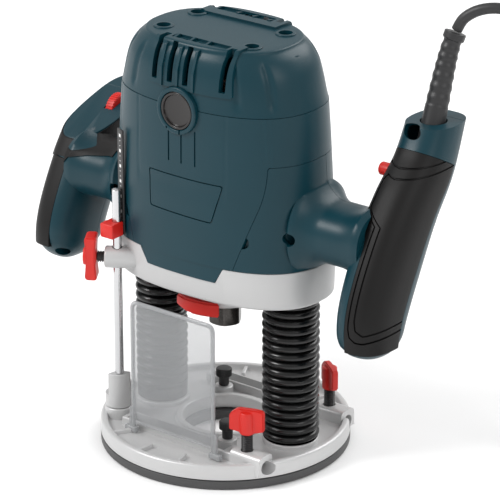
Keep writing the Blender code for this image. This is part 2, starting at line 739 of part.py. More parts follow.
def make_motor():
    ring("stator", 0.0390, 0.0256, 0.1660, 0.2140, IRON, 28)
    core = [(0.0180, 0.2210), (0.0235, 0.2145), (0.0248, 0.2140), (0.0248, 0.1660), (0.0235, 0.1655), (0.0180, 0.1590)]
    turned("armature_core", [*core, (0.0061, 0.1590), (0.0061, 0.2210)], IRON, hollow=True, steps=20)
    ring("commutator", 0.0120, 0.0061, 0.2260, 0.2410, COPPER)
    ring("bearing_lower", 0.0172, 0.0088, 0.1141, 0.1230, STEEL)
    ring("bearing_upper", 0.0110, 0.0043, 0.2470, 0.2540, STEEL)
    profile = [(0, 0.2545), (0.0040, 0.2545), (0.0040, 0.2460), (0.0057, 0.2450), (0.0057, 0.1270), (0.0085, 0.1260)]
    profile += [(0.0085, 0.1125), (0.0110, 0.1120), (0.0110, 0.0995), (0.0076, 0.0990), (0.0076, 0.0830), (0, 0.0830)]
    spindle = turned("spindle", profile, STEEL)
    cut(spindle, shape(upright(0, 0, 0.0700, 0.1010, 0.0055, 20)))
    cut(spindle, shape(rod((0.003, -0.020, 0.1010), (0.003, -0.0088, 0.1010), 0.0029, sides=12)))
    for name, way in (("front", -1), ("rear", 1)):
        bm = block((-0.003, way * 0.0124, BRUSH_Z - 0.0040), (0.003, way * 0.0300, BRUSH_Z + 0.0040))
        add(f"carbon_brush_{name}", bm, IRON, (0, way * 0.0124, BRUSH_Z))
        cap = add(f"brush_cap_{name}", rod((0, way * 0.0376, BRUSH_Z), (0, way * 0.0480, BRUSH_Z), 0.0119), BLACK_PLASTIC)
        cut(cap, shape(block((-0.0085, way * 0.0462, BRUSH_Z - 0.0012), (0.0085, way * 0.0500, BRUSH_Z + 0.0012))))


def make_fan():
    """A fan wheel: nine straight blades on a disc."""
    blades = 9
    outline = []
    for blade in range(blades):
        angle = CIRCLE * blade / blades
        half = 0.0012
        along = Vector((math.cos(angle), math.sin(angle)))
        across = Vector((-along.y, along.x))
        for reach, sign in ((0.0118, -1), (0.0330, -1), (0.0330, 1), (0.0118, 1)):
            outline.append(tuple(along * reach + across * half * sign))
    fan = add("cooling_fan", upright(0, 0, 0.1440, 0.1465, 0.0335, 27), BLACK_PLASTIC, (0, 0, 0.1440))
    join(fan, shape(slab(outline, 0.1455, 0.1560)))
    cut(fan, shape(upright(0, 0, 0.14, 0.16, 0.0061)))


def make_collet():
    profile = [(0.0052, 0.0985), (0.0052, 0.0815), (0.0040, 0.0815), (0.0040, 0.0985)]
    turned("collet", profile, SPRING_STEEL, hollow=True, steps=16)
    nut = add("collet_nut", upright(0, 0, 0.0800, 0.0970, 0.019 / math.sqrt(3), 6), STEEL, (0, 0, 0.0885))
    cut(nut, shape(upright(0, 0, 0.0824, 0.1000, 0.0080, 20)), shape(upright(0, 0, 0.0700, 0.0850, 0.0056, 16)))


def make_spindle_lock():
    """A red pad at the neck's front. Pushed in, its pin enters the spindle."""
    points = []
    for step in range(9):
        angle = math.radians(-114 + 57 * step / 8)
        points.append((0.0352 * math.cos(angle), 0.0352 * math.sin(angle)))
    points += [(0.0165, -0.0286), (-0.0125, -0.0286)]
    lock = add("spindle_lock", slab(points, 0.0960, 0.1058), RED, (0.003, -0.0292, 0.1010))
    join(lock, shape(rod((0.003, -0.031, 0.1010), (0.003, -0.0134, 0.1010), 0.0024, sides=12)))


def make_plunge_lock():
    """A lever on the bracket's rear that clamps the left column."""
    x, z = LEVER_AT
    lever = add("plunge_lock_lever", rod((x, 0.0468, z), (x, 0.0560, z), 0.0085), RED, (x, 0.0468, z))
    join(lever, shape(slab([(x, z + 0.0065), (x - 0.040, z + 0.0010), (x - 0.040, z - 0.0080), (x, z - 0.0070)], 0.0500, 0.0560, "Y")))
    join(lever, shape(rod((x, 0.0130, z), (x, 0.0480, z), 0.0035, sides=12)))


# ---- Head: depth stop ----


def scale_box(half_width, front, back, low, high):
    """An upright box where the scale lies on the housing, square to the surface there."""
    outward = Vector((-0.40, -0.9165, 0))
    strip = block((-half_width, -front, low), (half_width, back, high))
    tilt = Matrix.Rotation(math.atan2(outward.x, -outward.y), 4, "Z")
    strip.transform(Matrix.Translation(Vector((-0.0511, -0.0377, 0)) + outward * 0.0012) @ tilt)
    return strip


def make_depth_stop():
    x, y = STOP_ROD_AT
    profile = [(0, 0.1690), (0.0023, 0.1690), (0.0028, 0.1680), (0.0028, 0.0446), (0.0022, 0.0438), (0, 0.0438)]
    turned("depth_rod", profile, BRIGHT_STEEL, (x, y, 0), steps=16)
    cursor = add("depth_cursor", block((x - 0.0062, y - 0.0092, 0.1385), (x + 0.0040, y + 0.0042, 0.1480)), RED, (x, y, 0.1430))
    cut(cursor, shape(upright(x, y, 0.13, 0.16, 0.0031, 16)), shape(scale_box(0.0120, 0.0009, 0.0080, 0.13, 0.16)))
    centre = Vector((x, y, STOP_SCREW_Z))
    start = centre + STOP_SCREW_WAY * 0.0034
    screw = add("depth_screw", rod(start, centre + STOP_SCREW_WAY * 0.0135, 0.0026, sides=12), RED, start)
    join(screw, shape(rod(centre + STOP_SCREW_WAY * 0.0120, centre + STOP_SCREW_WAY * 0.0215, 0.0048, sides=16)))
    wing = block((0.0125, -0.0052, -0.0145), (0.0205, 0.0052, 0.0145))
    angle = math.atan2(STOP_SCREW_WAY.y, STOP_SCREW_WAY.x)
    wing.transform(Matrix.Translation(centre) @ Matrix.Rotation(angle, 4, "Z"))
    join(screw, shape(wing))
    add("scale_strip", scale_box(0.0035, 0.0005, 0.0005, 0.1390, 0.2080), BLACK_PLASTIC, (-0.0515, -0.0388, 0.1735))


# ---- Cord ----


def tube_curve(name, points, radius, resolution):
    data = bpy.data.curves.new(name, "CURVE")
    data.dimensions = "3D"
    data.bevel_depth = 1.0
    data.bevel_resolution = resolution
    data.use_fill_caps = True
    spline = data.splines.new("POLY")
    spline.points.add(len(points) - 1)
    for i, point in enumerate(points):
        spline.points[i].co = (*point, 1)
        spline.points[i].radius = radius(i / (len(points) - 1))
    return data


def make_strain_relief():
    count = 14
    points = [smooth(RELIEF_ROUTE, i / count) for i in range(count + 1)]

    def taper(u):
        return 0.0080 - 0.0026 * u if u < 0.9 else 0.0068

    relief = add("strain_relief", mesh_of(tube_curve("strain_relief", points, taper, 3)), BLACK_PLASTIC, points[0])
    start = Vector(RELIEF_ROUTE[0])
    way = (Vector(RELIEF_ROUTE[1]) - start).normalized()
    hole = shape(rod(start - way * 0.001, start + way * 0.030, 0.0084))
    cut(SHELLS["right", "front"], hole)
    cut(SHELLS["right", "rear"], hole)
    return relief


def make_cord():
    count = 46
    points = [smooth(CORD_ROUTE, i / count) for i in range(count + 1)]
    add_data("cord_tube", tube_curve("cord_tube", points, lambda u: CORD_RADIUS, 1), BLACK_PLASTIC)
    outer = COIL_RADIUS + COIL_HALF_WIDTH
    inner = COIL_RADIUS - COIL_HALF_WIDTH
    profile = [(outer - 0.003, COIL_HEIGHT), (outer, COIL_HEIGHT - 0.003), (outer, 0.003), (outer - 0.003, 0)]
    profile += [(inner + 0.003, 0), (inner, 0.003), (inner, COIL_HEIGHT - 0.003), (inner + 0.003, COIL_HEIGHT)]
    turned("cord_coil", profile, BLACK_PLASTIC, (*COIL_AT, 0), hollow=True, steps=28)


def make_plug():
    """A flat two-pin plug, lying beside the coil, where its outermost turn leaves it."""
    x = COIL_AT[0] + COIL_RADIUS + COIL_HALF_WIDTH - CORD_RADIUS
    y = COIL_AT[1] - 0.0310
    middle = 0.0090
    body_block = block((x - 0.0175, y - 0.074, 0.0002), (x + 0.0175, y - 0.038, 2 * middle))
    plug = add("cord_plug", body_block, BLACK_PLASTIC, (x, y, middle))
    soften(plug, 0.003)
    join(plug, shape(rod((x, y, middle + 0.0006), (x, y - 0.041, middle), 0.0050, 0.0080, 16)))
    for side in (1, -1):
        pin_x = x + side * 0.0095
        join(plug, shape(rod((pin_x, y - 0.072, middle), (pin_x, y - 0.094, middle), 0.0024, sides=12)))


for startup_object in list(bpy.data.objects):
    bpy.data.objects.remove(startup_object)

PARTS = new_collection("plunge_router")
CUTTERS = new_collection("cutters")
SHELLS = {}

TEAL = finish("teal_plastic", (0.030, 0.090, 0.115), 0.45)
RED = finish("red_plastic", (0.80, 0.045, 0.030), 0.40)
BLACK_PLASTIC = finish("black_plastic", (0.025, 0.025, 0.026), 0.50)
RUBBER = finish("black_rubber", (0.018, 0.018, 0.019), 0.65)
ALUMINIUM = finish("cast_aluminium", (0.72, 0.72, 0.73), 0.40, 0.8)
STEEL = finish("steel", (0.55, 0.55, 0.56), 0.35, 1.0)
BRIGHT_STEEL = finish("bright_steel", (0.80, 0.80, 0.82), 0.15, 1.0)
SPRING_STEEL = finish("spring_steel", (0.35, 0.35, 0.37), 0.35, 1.0)
BRONZE = finish("bronze", (0.55, 0.38, 0.18), 0.40, 1.0)
IRON = finish("motor_iron", (0.20, 0.20, 0.21), 0.55, 0.6)
COPPER = finish("copper", (0.72, 0.36, 0.20), 0.35, 1.0)
CLEAR = finish("clear_plastic", (0.90, 0.92, 0.93), 0.10, 0.0, 0.35)

PLATE = make_base_plate()
make_sole()
make_columns()
make_guard()
make_turret()
make_guide_screws()
make_knurled_screws()
make_bracket()
make_bushes()
make_housing()
make_cap()
make_cap_screws()
make_handle(1)
make_handle(-1)
make_switch()
make_speed_dial()
make_motor()
make_fan()
make_collet()
make_spindle_lock()
make_plunge_lock()
make_depth_stop()
make_strain_relief()
make_cord()
make_plug()
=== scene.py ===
"""A plunge router on a pale floor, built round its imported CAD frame.

Metres, +Z up. The user stands at -Y, the handle with the switch and the cord is at +X.
"""

import math

import bmesh
import bpy
from mathutils import Matrix, Vector


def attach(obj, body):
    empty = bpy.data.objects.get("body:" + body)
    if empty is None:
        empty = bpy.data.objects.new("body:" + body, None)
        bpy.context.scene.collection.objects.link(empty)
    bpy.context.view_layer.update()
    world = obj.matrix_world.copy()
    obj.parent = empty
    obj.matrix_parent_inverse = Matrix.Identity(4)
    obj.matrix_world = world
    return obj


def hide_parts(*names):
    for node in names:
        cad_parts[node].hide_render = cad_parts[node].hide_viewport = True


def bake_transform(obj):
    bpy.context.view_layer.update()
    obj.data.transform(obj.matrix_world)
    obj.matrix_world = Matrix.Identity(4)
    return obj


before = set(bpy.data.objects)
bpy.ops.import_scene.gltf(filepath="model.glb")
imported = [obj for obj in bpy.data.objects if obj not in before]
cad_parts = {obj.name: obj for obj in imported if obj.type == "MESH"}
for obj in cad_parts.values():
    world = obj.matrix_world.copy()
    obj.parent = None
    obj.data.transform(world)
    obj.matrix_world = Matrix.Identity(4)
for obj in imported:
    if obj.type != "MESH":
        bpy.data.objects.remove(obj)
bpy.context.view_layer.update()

# ---- Studio ----
# A pale floor under a soft white sky, with a broad key lamp high at the front left, a weaker
# fill at the right and a wide lamp behind. The camera is a long lens, about two metres away.

TOWARDS_CAMERA = Vector((0.5705, -0.7301, 0.3761)).normalized()
LOOK_AT = Vector((0.01228, 0.00959, 0.12792))
CAMERA_DISTANCE = 1.9626

camera = bpy.data.objects.new("camera", bpy.data.cameras.new("camera"))
camera.data.lens = 225.2
camera.data.sensor_width = 36.0
camera.data.clip_start = 0.05
camera.data.clip_end = 50.0
camera.location = LOOK_AT + TOWARDS_CAMERA * CAMERA_DISTANCE
camera.rotation_euler = (-TOWARDS_CAMERA).to_track_quat("-Z", "Y").to_euler()
bpy.context.scene.collection.objects.link(camera)
bpy.context.scene.camera = camera

bpy.context.scene.view_settings.view_transform = "Standard"
bpy.context.scene.view_settings.look = "None"

sky = bpy.data.worlds.new("sky")
sky.use_nodes = True
sky.node_tree.nodes["Background"].inputs["Color"].default_value = (1.0, 1.0, 1.0, 1.0)
sky.node_tree.nodes["Background"].inputs["Strength"].default_value = 0.70
bpy.context.scene.world = sky


def lamp(name, place, width, watts, aim=(0.0, 0.0, 0.13)):
    """A square soft lamp that faces the router."""
    light = bpy.data.lights.new(name, "AREA")
    light.shape = "SQUARE"
    light.size = width
    light.energy = watts
    holder = bpy.data.objects.new(name, light)
    holder.location = place
    holder.rotation_euler = (Vector(aim) - Vector(place)).to_track_quat("-Z", "Y").to_euler()
    bpy.context.scene.collection.objects.link(holder)


lamp("key_lamp", (-1.10, -1.30, 1.70), 0.8, 30.0)
lamp("fill_lamp", (1.9, -0.3, 1.4), 1.0, 9.0)
lamp("back_lamp", (0.3, 1.9, 1.7), 1.4, 26.0)

floor_mesh = bpy.data.meshes.new("floor")
floor_half = 6.0
floor_mesh.from_pydata(
    [(x * floor_half, y * floor_half, -0.0004) for x, y in ((-1, -1), (1, -1), (1, 1), (-1, 1))],
    [],
    [(0, 1, 2, 3)],
)
floor = bpy.data.objects.new("floor", floor_mesh)
bpy.context.scene.collection.objects.link(floor)


def finish_of(name, colour, rough, cloud=0.10, grain=1500.0, relief=0.25, metal=0.0, rough_spread=0.06):
    """A finish for a solid material: slow clouds in its colour, and a fine grain in its gloss and skin."""
    material = bpy.data.materials.new(name)
    material.use_nodes = True
    nodes = material.node_tree.nodes
    links = material.node_tree.links
    shader = nodes["Principled BSDF"]
    shader.inputs["Metallic"].default_value = metal
    place = nodes.new("ShaderNodeTexCoord").outputs["Object"]
    clouds = nodes.new("ShaderNodeTexNoise")
    clouds.inputs["Scale"].default_value = 26.0
    clouds.inputs["Detail"].default_value = 4.0
    links.new(place, clouds.inputs["Vector"])
    tint = nodes.new("ShaderNodeMix")
    tint.data_type = "RGBA"
    tint.inputs[6].default_value = (*(c * (1 - cloud) for c in colour), 1.0)
    tint.inputs[7].default_value = (*(min(c * (1 + cloud), 1.0) for c in colour), 1.0)
    links.new(clouds.outputs["Fac"], tint.inputs["Factor"])
    links.new(tint.outputs[2], shader.inputs["Base Color"])
    specks = nodes.new("ShaderNodeTexNoise")
    specks.inputs["Scale"].default_value = grain
    specks.inputs["Detail"].default_value = 2.0
    links.new(place, specks.inputs["Vector"])
    gloss = nodes.new("ShaderNodeMapRange")
    gloss.inputs["To Min"].default_value = rough - rough_spread
    gloss.inputs["To Max"].default_value = rough + rough_spread
    links.new(specks.outputs["Fac"], gloss.inputs["Value"])
    links.new(gloss.outputs["Result"], shader.inputs["Roughness"])
    skin = nodes.new("ShaderNodeBump")
    skin.inputs["Strength"].default_value = relief
    skin.inputs["Distance"].default_value = 0.0003
    links.new(specks.outputs["Fac"], skin.inputs["Height"])
    links.new(skin.outputs["Normal"], shader.inputs["Normal"])
    return material


floor_mesh.materials.append(finish_of("studio_floor", (0.98, 0.98, 0.98), 0.85, cloud=0.004, relief=0.0))

# ---- Cord ----
# A round rubber-skinned mains lead, 2.5 m long and 7 mm thick. It leaves the handle through a
# tapered sleeve, bends over and falls to the floor at the right, and the rest lies coiled there.

CIRCLE = 2 * math.pi
CORD_RADIUS = 0.0035
CORD_EXIT = (0.1245, 0.0684, 0.2805)
CORD_FALL = (
    CORD_EXIT,
    (0.1285, 0.0700, 0.2880),
    (0.1368, 0.0734, 0.2938),
    (0.1477, 0.0780, 0.2960),
    (0.1590, 0.0828, 0.2935),
    (0.1680, 0.0866, 0.2850),
    (0.1727, 0.0887, 0.2730),
    (0.1742, 0.0896, 0.2500),
    (0.1748, 0.0905, 0.2000),
    (0.1750, 0.0918, 0.1400),
    (0.1750, 0.0932, 0.0800),
    (0.1752, 0.0942, 0.0460),
    (0.1768, 0.0949, 0.0255),
    (0.1815, 0.0953, 0.0120),
    (0.1895, 0.0955, 0.0055),
    (0.1980, 0.0956, 0.0037),
    (0.2080, 0.0957, 0.0036),
    (0.2200, 0.0957, 0.0036),
    (0.2420, 0.0957, 0.0036),
    (0.2640, 0.0957, 0.0036),
)
COIL_CENTRE = (0.262, 0.0374)
COIL_INNER = 0.0306
COIL_OUTER = 0.0510
COIL_LEAD_IN = 0.0583
LAYER_Z = (0.0036, 0.0104)
PLUG_END = (0.313, 0.0064, 0.0096)


def smooth(points, u):
    """A point of the smooth curve through the given points, with u from 0 to 1."""
    last = len(points) - 1
    i = min(int(u * last), last - 1)
    t = u * last - i
    before, start, end, after = (points[min(max(k, 0), last)] for k in (i - 1, i, i + 1, i + 2))
    return tuple(
        b + t / 2 * (c - a + t * (2 * a - 5 * b + 4 * c - d + t * (3 * (b - c) + d - a)))
        for a, b, c, d in zip(before, start, end, after)
    )


def ease(t):
    """A soft step from 0 to 1."""
    t = min(max(t, 0.0), 1.0)
    return t * t * (3 - 2 * t)


def coil_points(turns=8.25, per_turn=26):
    """Four turns in on the floor, then out again on top of them to the plug."""
    points = []
    for step in range(1, round(turns * per_turn) + 1):
        turn = step / per_turn
        angle = CIRCLE / 4 - CIRCLE * turn
        inward = COIL_OUTER + (COIL_INNER - COIL_OUTER) * min(max(turn - 0.25, 0) / 3.5, 1)
        outward = COIL_INNER + (COIL_OUTER - COIL_INNER) * min(max(turn - 4.25, 0) / 3.75, 1)
        radius = inward if turn < 4 else outward
        radius += (COIL_LEAD_IN - COIL_OUTER) * (1 - ease(turn / 0.3))
        z = LAYER_Z[0] + (LAYER_Z[1] - LAYER_Z[0]) * ease((turn - 3.9) / 0.4)
        x = COIL_CENTRE[0] + radius * math.cos(angle)
        y = COIL_CENTRE[1] + radius * math.sin(angle)
        points.append((x, y, z))
    return points


def mesh_from(name, bm, angle=38):
    """The object of a shape, smooth but for its sharp corners."""
    mesh = bpy.data.meshes.new(name)
    bm.to_mesh(mesh)
    bm.free()
    piece = bpy.data.objects.new(name, mesh)
    bpy.context.scene.collection.objects.link(piece)
    mesh.shade_smooth()
    mesh.set_sharp_from_angle(angle=math.radians(angle))
    return piece


def skin_over(rings, closed=True):
    """A closed skin from ring to ring, with both ends filled."""
    bm = bmesh.new()
    rows = [[bm.verts.new(point) for point in ring] for ring in rings]
    count = len(rows[0])
    for lower, upper in zip(rows, rows[1:]):
        for i in range(count):
            j = (i + 1) % count
            bm.faces.new((lower[i], lower[j], upper[j], upper[i]))
    if closed:
        bm.faces.new(rows[0])
        bm.faces.new(rows[-1])
    bmesh.ops.recalc_face_normals(bm, faces=bm.faces)
    return bm


def tube(points, radius_at, sides):
    """A round tube along points, its radius a function of the share of the way along."""
    points = [Vector(point) for point in points]
    last = len(points) - 1
    ways = [(points[min(i + 1, last)] - points[max(i - 1, 0)]).normalized() for i in range(last + 1)]
    across = ways[0].orthogonal().normalized()
    rings = []
    for i, (point, way) in enumerate(zip(points, ways)):
        across = (across - way * across.dot(way)).normalized()
        other = way.cross(across)
        radius = radius_at(i / last)
        ring = []
        for side in range(sides):
            angle = CIRCLE * side / sides
            ring.append(point + (across * math.cos(angle) + other * math.sin(angle)) * radius)
        rings.append(ring)
    return skin_over(rings)


def put(piece, body, material, slot, *nodes):
    """Dresses a piece, fixes it to its body if it has only one, and lets it stand for its CAD nodes."""
    piece.data.materials.clear()
    piece.data.materials.append(material)
    if body:
        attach(piece, body)
    if nodes:
        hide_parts(*nodes)
    return piece


cord_rubber = finish_of("cord_rubber", (0.022, 0.022, 0.023), 0.46, grain=900.0, relief=0.3)
moulded_black = finish_of("moulded_black", (0.020, 0.020, 0.021), 0.42, grain=1700.0)

route = [smooth(CORD_FALL, i / 84) for i in range(85)] + coil_points()
leave = Vector(route[-1])
route += [tuple(leave.lerp(Vector(PLUG_END), i / 6)) for i in range(1, 7)]
cord = mesh_from("cord", tube(route, lambda u: CORD_RADIUS, 14))
cord.data.materials.append(cord_rubber)


def plug_shape():
    """A flat moulded plug with a waist, two round pins and a ribbed tail."""
    x, y, z = PLUG_END
    rings = []
    for step in range(25):
        u = step / 24
        back = 0.038 + 0.036 * u
        half_y = 0.0125 + 0.0050 * math.sin(math.pi * min(u * 1.25, 1.0) ** 0.8 / 2)
        half_z = 0.0078 + 0.0010 * ease(u * 2)
        round_off = math.sqrt(max(1 - (abs(2 * u - 1)) ** 9, 0.02))
        ring = oval(half_y * (0.86 + 0.14 * round_off), half_z * (0.80 + 0.20 * round_off), 3.6, 40)
        rings.append([(x + v, y - back, 0.0090 + w) for v, w in ring])
    return skin_over(rings)


def oval(half_u, half_v, power, count):
    """Points of a superellipse: power 2 is an ellipse, more is squarer."""
    points = []
    for i in range(count):
        c = math.cos(CIRCLE * (i + 0.5) / count)
        s = math.sin(CIRCLE * (i + 0.5) / count)
        u = math.copysign(abs(c) ** (2 / power), c) * half_u
        v = math.copysign(abs(s) ** (2 / power), s) * half_v
        points.append((u, v))
    return points


def graph_mesh(piece):
    """Applies a piece's modifiers and removes them."""
    graph = bpy.context.evaluated_depsgraph_get()
    made = bpy.data.meshes.new_from_object(piece.evaluated_get(graph))
    piece.modifiers.clear()
    old = piece.data
    piece.data = made
    bpy.data.meshes.remove(old)
    made.name = piece.name
    return piece


def combine(piece, operation, others, angle=38):
    """Joins to, cuts from or keeps of a piece the other shapes, which are used up."""
    for other in others:
        if not isinstance(other, bpy.types.Object):
            other = mesh_from("helper", other)
        modifier = piece.modifiers.new("shape", "BOOLEAN")
        modifier.operation = operation
        modifier.solver = "EXACT"
        modifier.object = other
        graph_mesh(piece)
        used = other.data
        bpy.data.objects.remove(other)
        bpy.data.meshes.remove(used)
    piece.data.shade_smooth()
    piece.data.set_sharp_from_angle(angle=math.radians(angle))
    return piece


def join(piece, *others):
    """Welds other shapes onto a piece."""
    return combine(piece, "UNION", others)


def cut(piece, *others):
    """Cuts other shapes out of a piece."""
    return combine(piece, "DIFFERENCE", others)


def keep_in(piece, *others):
    """Keeps of a piece only what lies inside the other shapes."""
    return combine(piece, "INTERSECT", others)


def rod(start, end, radius, edge=0.0, end_radius=None, sides=48):
    """A round bar between two points, its rims rounded over by edge."""
    start = Vector(start)
    end = Vector(end)
    way = end - start
    long = way.length
    turn = way.to_track_quat("Z", "Y").to_matrix().to_4x4()
    end_radius = radius if end_radius is None else end_radius
    profile = [(radius, 0.0), (end_radius, long)]
    if edge:
        profile = []
        for step in range(5):
            angle = math.pi / 2 * step / 4
            profile.append((radius - edge + edge * math.sin(angle), edge - edge * math.cos(angle)))
        for step in range(5):
            angle = math.pi / 2 * step / 4
            profile.append((end_radius - edge + edge * math.cos(angle), long - edge + edge * math.sin(angle)))
    rings = []
    for reach, z in profile:
        angles = [CIRCLE * i / sides for i in range(sides)]
        rings.append([(reach * math.cos(a), reach * math.sin(a), z) for a in angles])
    bm = skin_over(rings)
    bm.transform(Matrix.Translation(start) @ turn)
    return bm


plug = mesh_from("cord_plug_body", plug_shape())
x, y, z = PLUG_END
join(plug, rod((x, y, z), (x, y - 0.041, 0.0090), 0.0050, 0.0008, 0.0080, 32))
for pin in (0.0095, -0.0095):
    join(plug, rod((x + pin, y - 0.0710, 0.0090), (x + pin, y - 0.0938, 0.0090), 0.0024, 0.0009, sides=24))
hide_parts("cord_tube", "cord_coil")
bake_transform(cord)
put(plug, "base", moulded_black, "black_plastic", "cord_plug")

# ---- Strain relief ----
# A tapered sleeve of soft black plastic in the top of the right handle, with fine rings that let
# it bend and a collar at its tip.

RELIEF_ROUTE = (
    (0.1210, 0.0472, 0.2145),
    (0.1210, 0.0516, 0.2280),
    (0.1212, 0.0563, 0.2425),
    (0.1215, 0.0608, 0.2565),
    (0.1223, 0.0645, 0.2685),
    (0.1240, 0.0680, 0.2790),
)


def relief_radius(u):
    """Tapers, with shallow rings, to a rounded collar."""
    if u > 0.895:
        near = min((u - 0.895) / 0.02, (1 - u) / 0.02, 1.0)
        return 0.0056 + 0.0012 * math.sqrt(1 - (1 - near) ** 2)
    groove = 0.00022 * math.cos(CIRCLE * u * 11) if u > 0.30 else 0.0
    return 0.0079 - 0.0026 * u + groove


relief_line = [smooth(RELIEF_ROUTE, i / 150) for i in range(151)]
relief = mesh_from("strain_relief_sleeve", tube(relief_line, relief_radius, 40))
put(relief, "head", moulded_black, "cord_rubber", "strain_relief")

# ---- Sole ----
# A flat black plastic disc that slides on the work, with a hole for the cutter. Three countersunk
# screws hold it up under the casting.

SOLE_RADIUS = 0.080
SOLE_TOP = 0.0057
SOLE_HOLE = 0.0235
SOLE_SCREWS = [(0.067 * math.cos(math.radians(a)), 0.067 * math.sin(math.radians(a))) for a in (25, 155, 270)]


def lathe(name, profile, at=(0.0, 0.0, 0.0), steps=160, angle=38):
    """A closed loop of (radius, height) points turned round an upright axis. Radius 0 closes on the axis."""
    bm = bmesh.new()
    rows = []
    for radius, z in profile:
        if radius < 1e-7:
            rows.append([bm.verts.new((at[0], at[1], at[2] + z))] * steps)
            continue
        row = []
        for i in range(steps):
            turn = CIRCLE * i / steps
            x = at[0] + radius * math.cos(turn)
            y = at[1] + radius * math.sin(turn)
            row.append(bm.verts.new((x, y, at[2] + z)))
        rows.append(row)
    on_axis = profile[0][0] < 1e-7 and profile[-1][0] < 1e-7
    pairs = list(zip(rows, rows[1:])) + ([] if on_axis else [(rows[-1], rows[0])])
    for lower, upper in pairs:
        for i in range(steps):
            j = (i + 1) % steps
            corners = list(dict.fromkeys((lower[i], lower[j], upper[j], upper[i])))
            if len(corners) > 2:
                bm.faces.new(corners)
    bmesh.ops.recalc_face_normals(bm, faces=bm.faces)
    return mesh_from(name, bm, angle)


def rounded(corners, radius, steps=5):
    """A loop of corners with each one rounded over by its own or the common radius."""
    points = []
    count = len(corners)
    for i, corner in enumerate(corners):
        here = Vector(corner[:2])
        own = corner[2] if len(corner) > 2 else radius
        before = (Vector(corners[i - 1][:2]) - here).normalized()
        after = (Vector(corners[(i + 1) % count][:2]) - here).normalized()
        if own <= 0:
            points.append(tuple(here))
            continue
        start = here + before * own
        end = here + after * own
        for step in range(steps + 1):
            t = step / steps
            points.append(tuple((1 - t) ** 2 * start + 2 * t * (1 - t) * here + t**2 * end))
    return points


def slab(outline, low, high, across="Z"):
    """A flat outline, thick from low to high along Z, X or Y. Its points are (x, y), (y, z) or (x, z)."""
    bm = bmesh.new()
    layers = []
    where = "XYZ".index(across)
    for level in (low, high):
        layers.append([bm.verts.new((*point[:where], level, *point[where:])) for point in outline])
    count = len(outline)
    for i in range(count):
        j = (i + 1) % count
        bm.faces.new((layers[0][i], layers[0][j], layers[1][j], layers[1][i]))
    bm.faces.new(layers[0])
    bm.faces.new(layers[1])
    bmesh.ops.recalc_face_normals(bm, faces=bm.faces)
    return bm


def block(low, high, edge=0.0, turn=None, about=None, segments=3):
    """A box between two corners, its edges rounded over, then turned about a point."""
    low, high = (Vector([pick(pair) for pair in zip(low, high)]) for pick in (min, max))
    bm = bmesh.new()
    size = Matrix.Diagonal((*(high - low), 1))
    bmesh.ops.create_cube(bm, size=1.0, matrix=Matrix.Translation((low + high) / 2) @ size)
    if edge:
        bmesh.ops.bevel(bm, geom=bm.edges[:], offset=edge, segments=segments, profile=0.5, affect="EDGES")
    if turn is not None:
        about = Vector(about if about is not None else (low + high) / 2)
        bm.transform(Matrix.Translation(about) @ turn @ Matrix.Translation(-about))
    return bm


sole_profile = [(SOLE_RADIUS, 0.0, 0.0012), (SOLE_RADIUS, SOLE_TOP, 0.0008)]
sole_profile += [(SOLE_HOLE, SOLE_TOP), (SOLE_HOLE, 0.0)]
sole = lathe("sole", rounded(sole_profile, 0.0006), steps=180)
sole_black = finish_of("sole_black", (0.060, 0.060, 0.061), 0.50, grain=1300.0, relief=0.3)
for x, y in SOLE_SCREWS:
    cut(sole, rod((x, y, -0.001), (x, y, 0.0030), 0.0046, sides=32))
    cut(sole, rod((x, y, 0.002), (x, y, 0.008), 0.0026, sides=24))
put(sole, "base", sole_black, "black_plastic", "base_sole")

# ---- Base casting ----
# A round aluminium casting, painted pale grey: a rim, a sunk floor, a collar round the opening,
# round feet for the two columns, and two long troughs that take a parallel guide's rods.

RIM_TOP = 0.016
FLOOR_TOP = 0.0122
ARCH_TOP = 0.0205
RIB_HALF = Vector((0.0065, 0.0012, 0.0))
RIB_LOW = Vector((0, 0, 0.010))
RIB_TOP = Vector((0, 0, 0.0150))
COLUMN_X = 0.0522
ROD_WAY_Y = 0.0428
WING_X = 0.0509
KNURLED = (0.026, -0.031)
TURRET = (-0.0566, -0.039)

rim_profile = rounded(
    [
        (0.0800, 0.0063, 0.0006),
        (0.0800, RIM_TOP, 0.0022),
        (0.0757, RIM_TOP, 0.0010),
        (0.0745, FLOOR_TOP, 0.0012),
        (0.0322, FLOOR_TOP, 0.0012),
        (0.0315, 0.0152, 0.0006),
        (0.0275, 0.0152, 0.0010),
        (0.0275, 0.0063, 0.0006),
    ],
    0.001,
)
base = lathe("base_casting", rim_profile, steps=200)
under = 0.008
for side in (1, -1):
    y = side * ROD_WAY_Y
    x = side * COLUMN_X
    arch = [(y - 0.0072, under, 0), (y + 0.0072, under, 0)]
    arch += [(y + 0.0068, ARCH_TOP, 0.004), (y - 0.0068, ARCH_TOP, 0.004)]
    join(base, slab(rounded(arch, 0.003), 0.0425, 0.0655, "X"))
    join(base, block((-0.046, y - 0.0060, under), (0.046, y + 0.0060, 0.0176), 0.0010))
    join(base, rod((x, 0, under), (x, 0, 0.0153), 0.0178, 0.0012, sides=72))
    x = side * KNURLED[0]
    join(base, rod((x, side * KNURLED[1], under), (x, side * KNURLED[1], 0.0168), 0.0062, 0.0010))
join(base, rod((*TURRET, under), (*TURRET, 0.0196), 0.0088, 0.0010))
for angle in (-75, -98, -122, 62, 90, 118):
    way = Vector((math.cos(math.radians(angle)), math.sin(math.radians(angle)), 0))
    turn = Matrix.Rotation(math.radians(angle), 4, "Z")
    middle = way * 0.0700
    join(base, block(middle - RIB_HALF + RIB_LOW, middle + RIB_HALF + RIB_TOP, 0.0006, turn, middle))
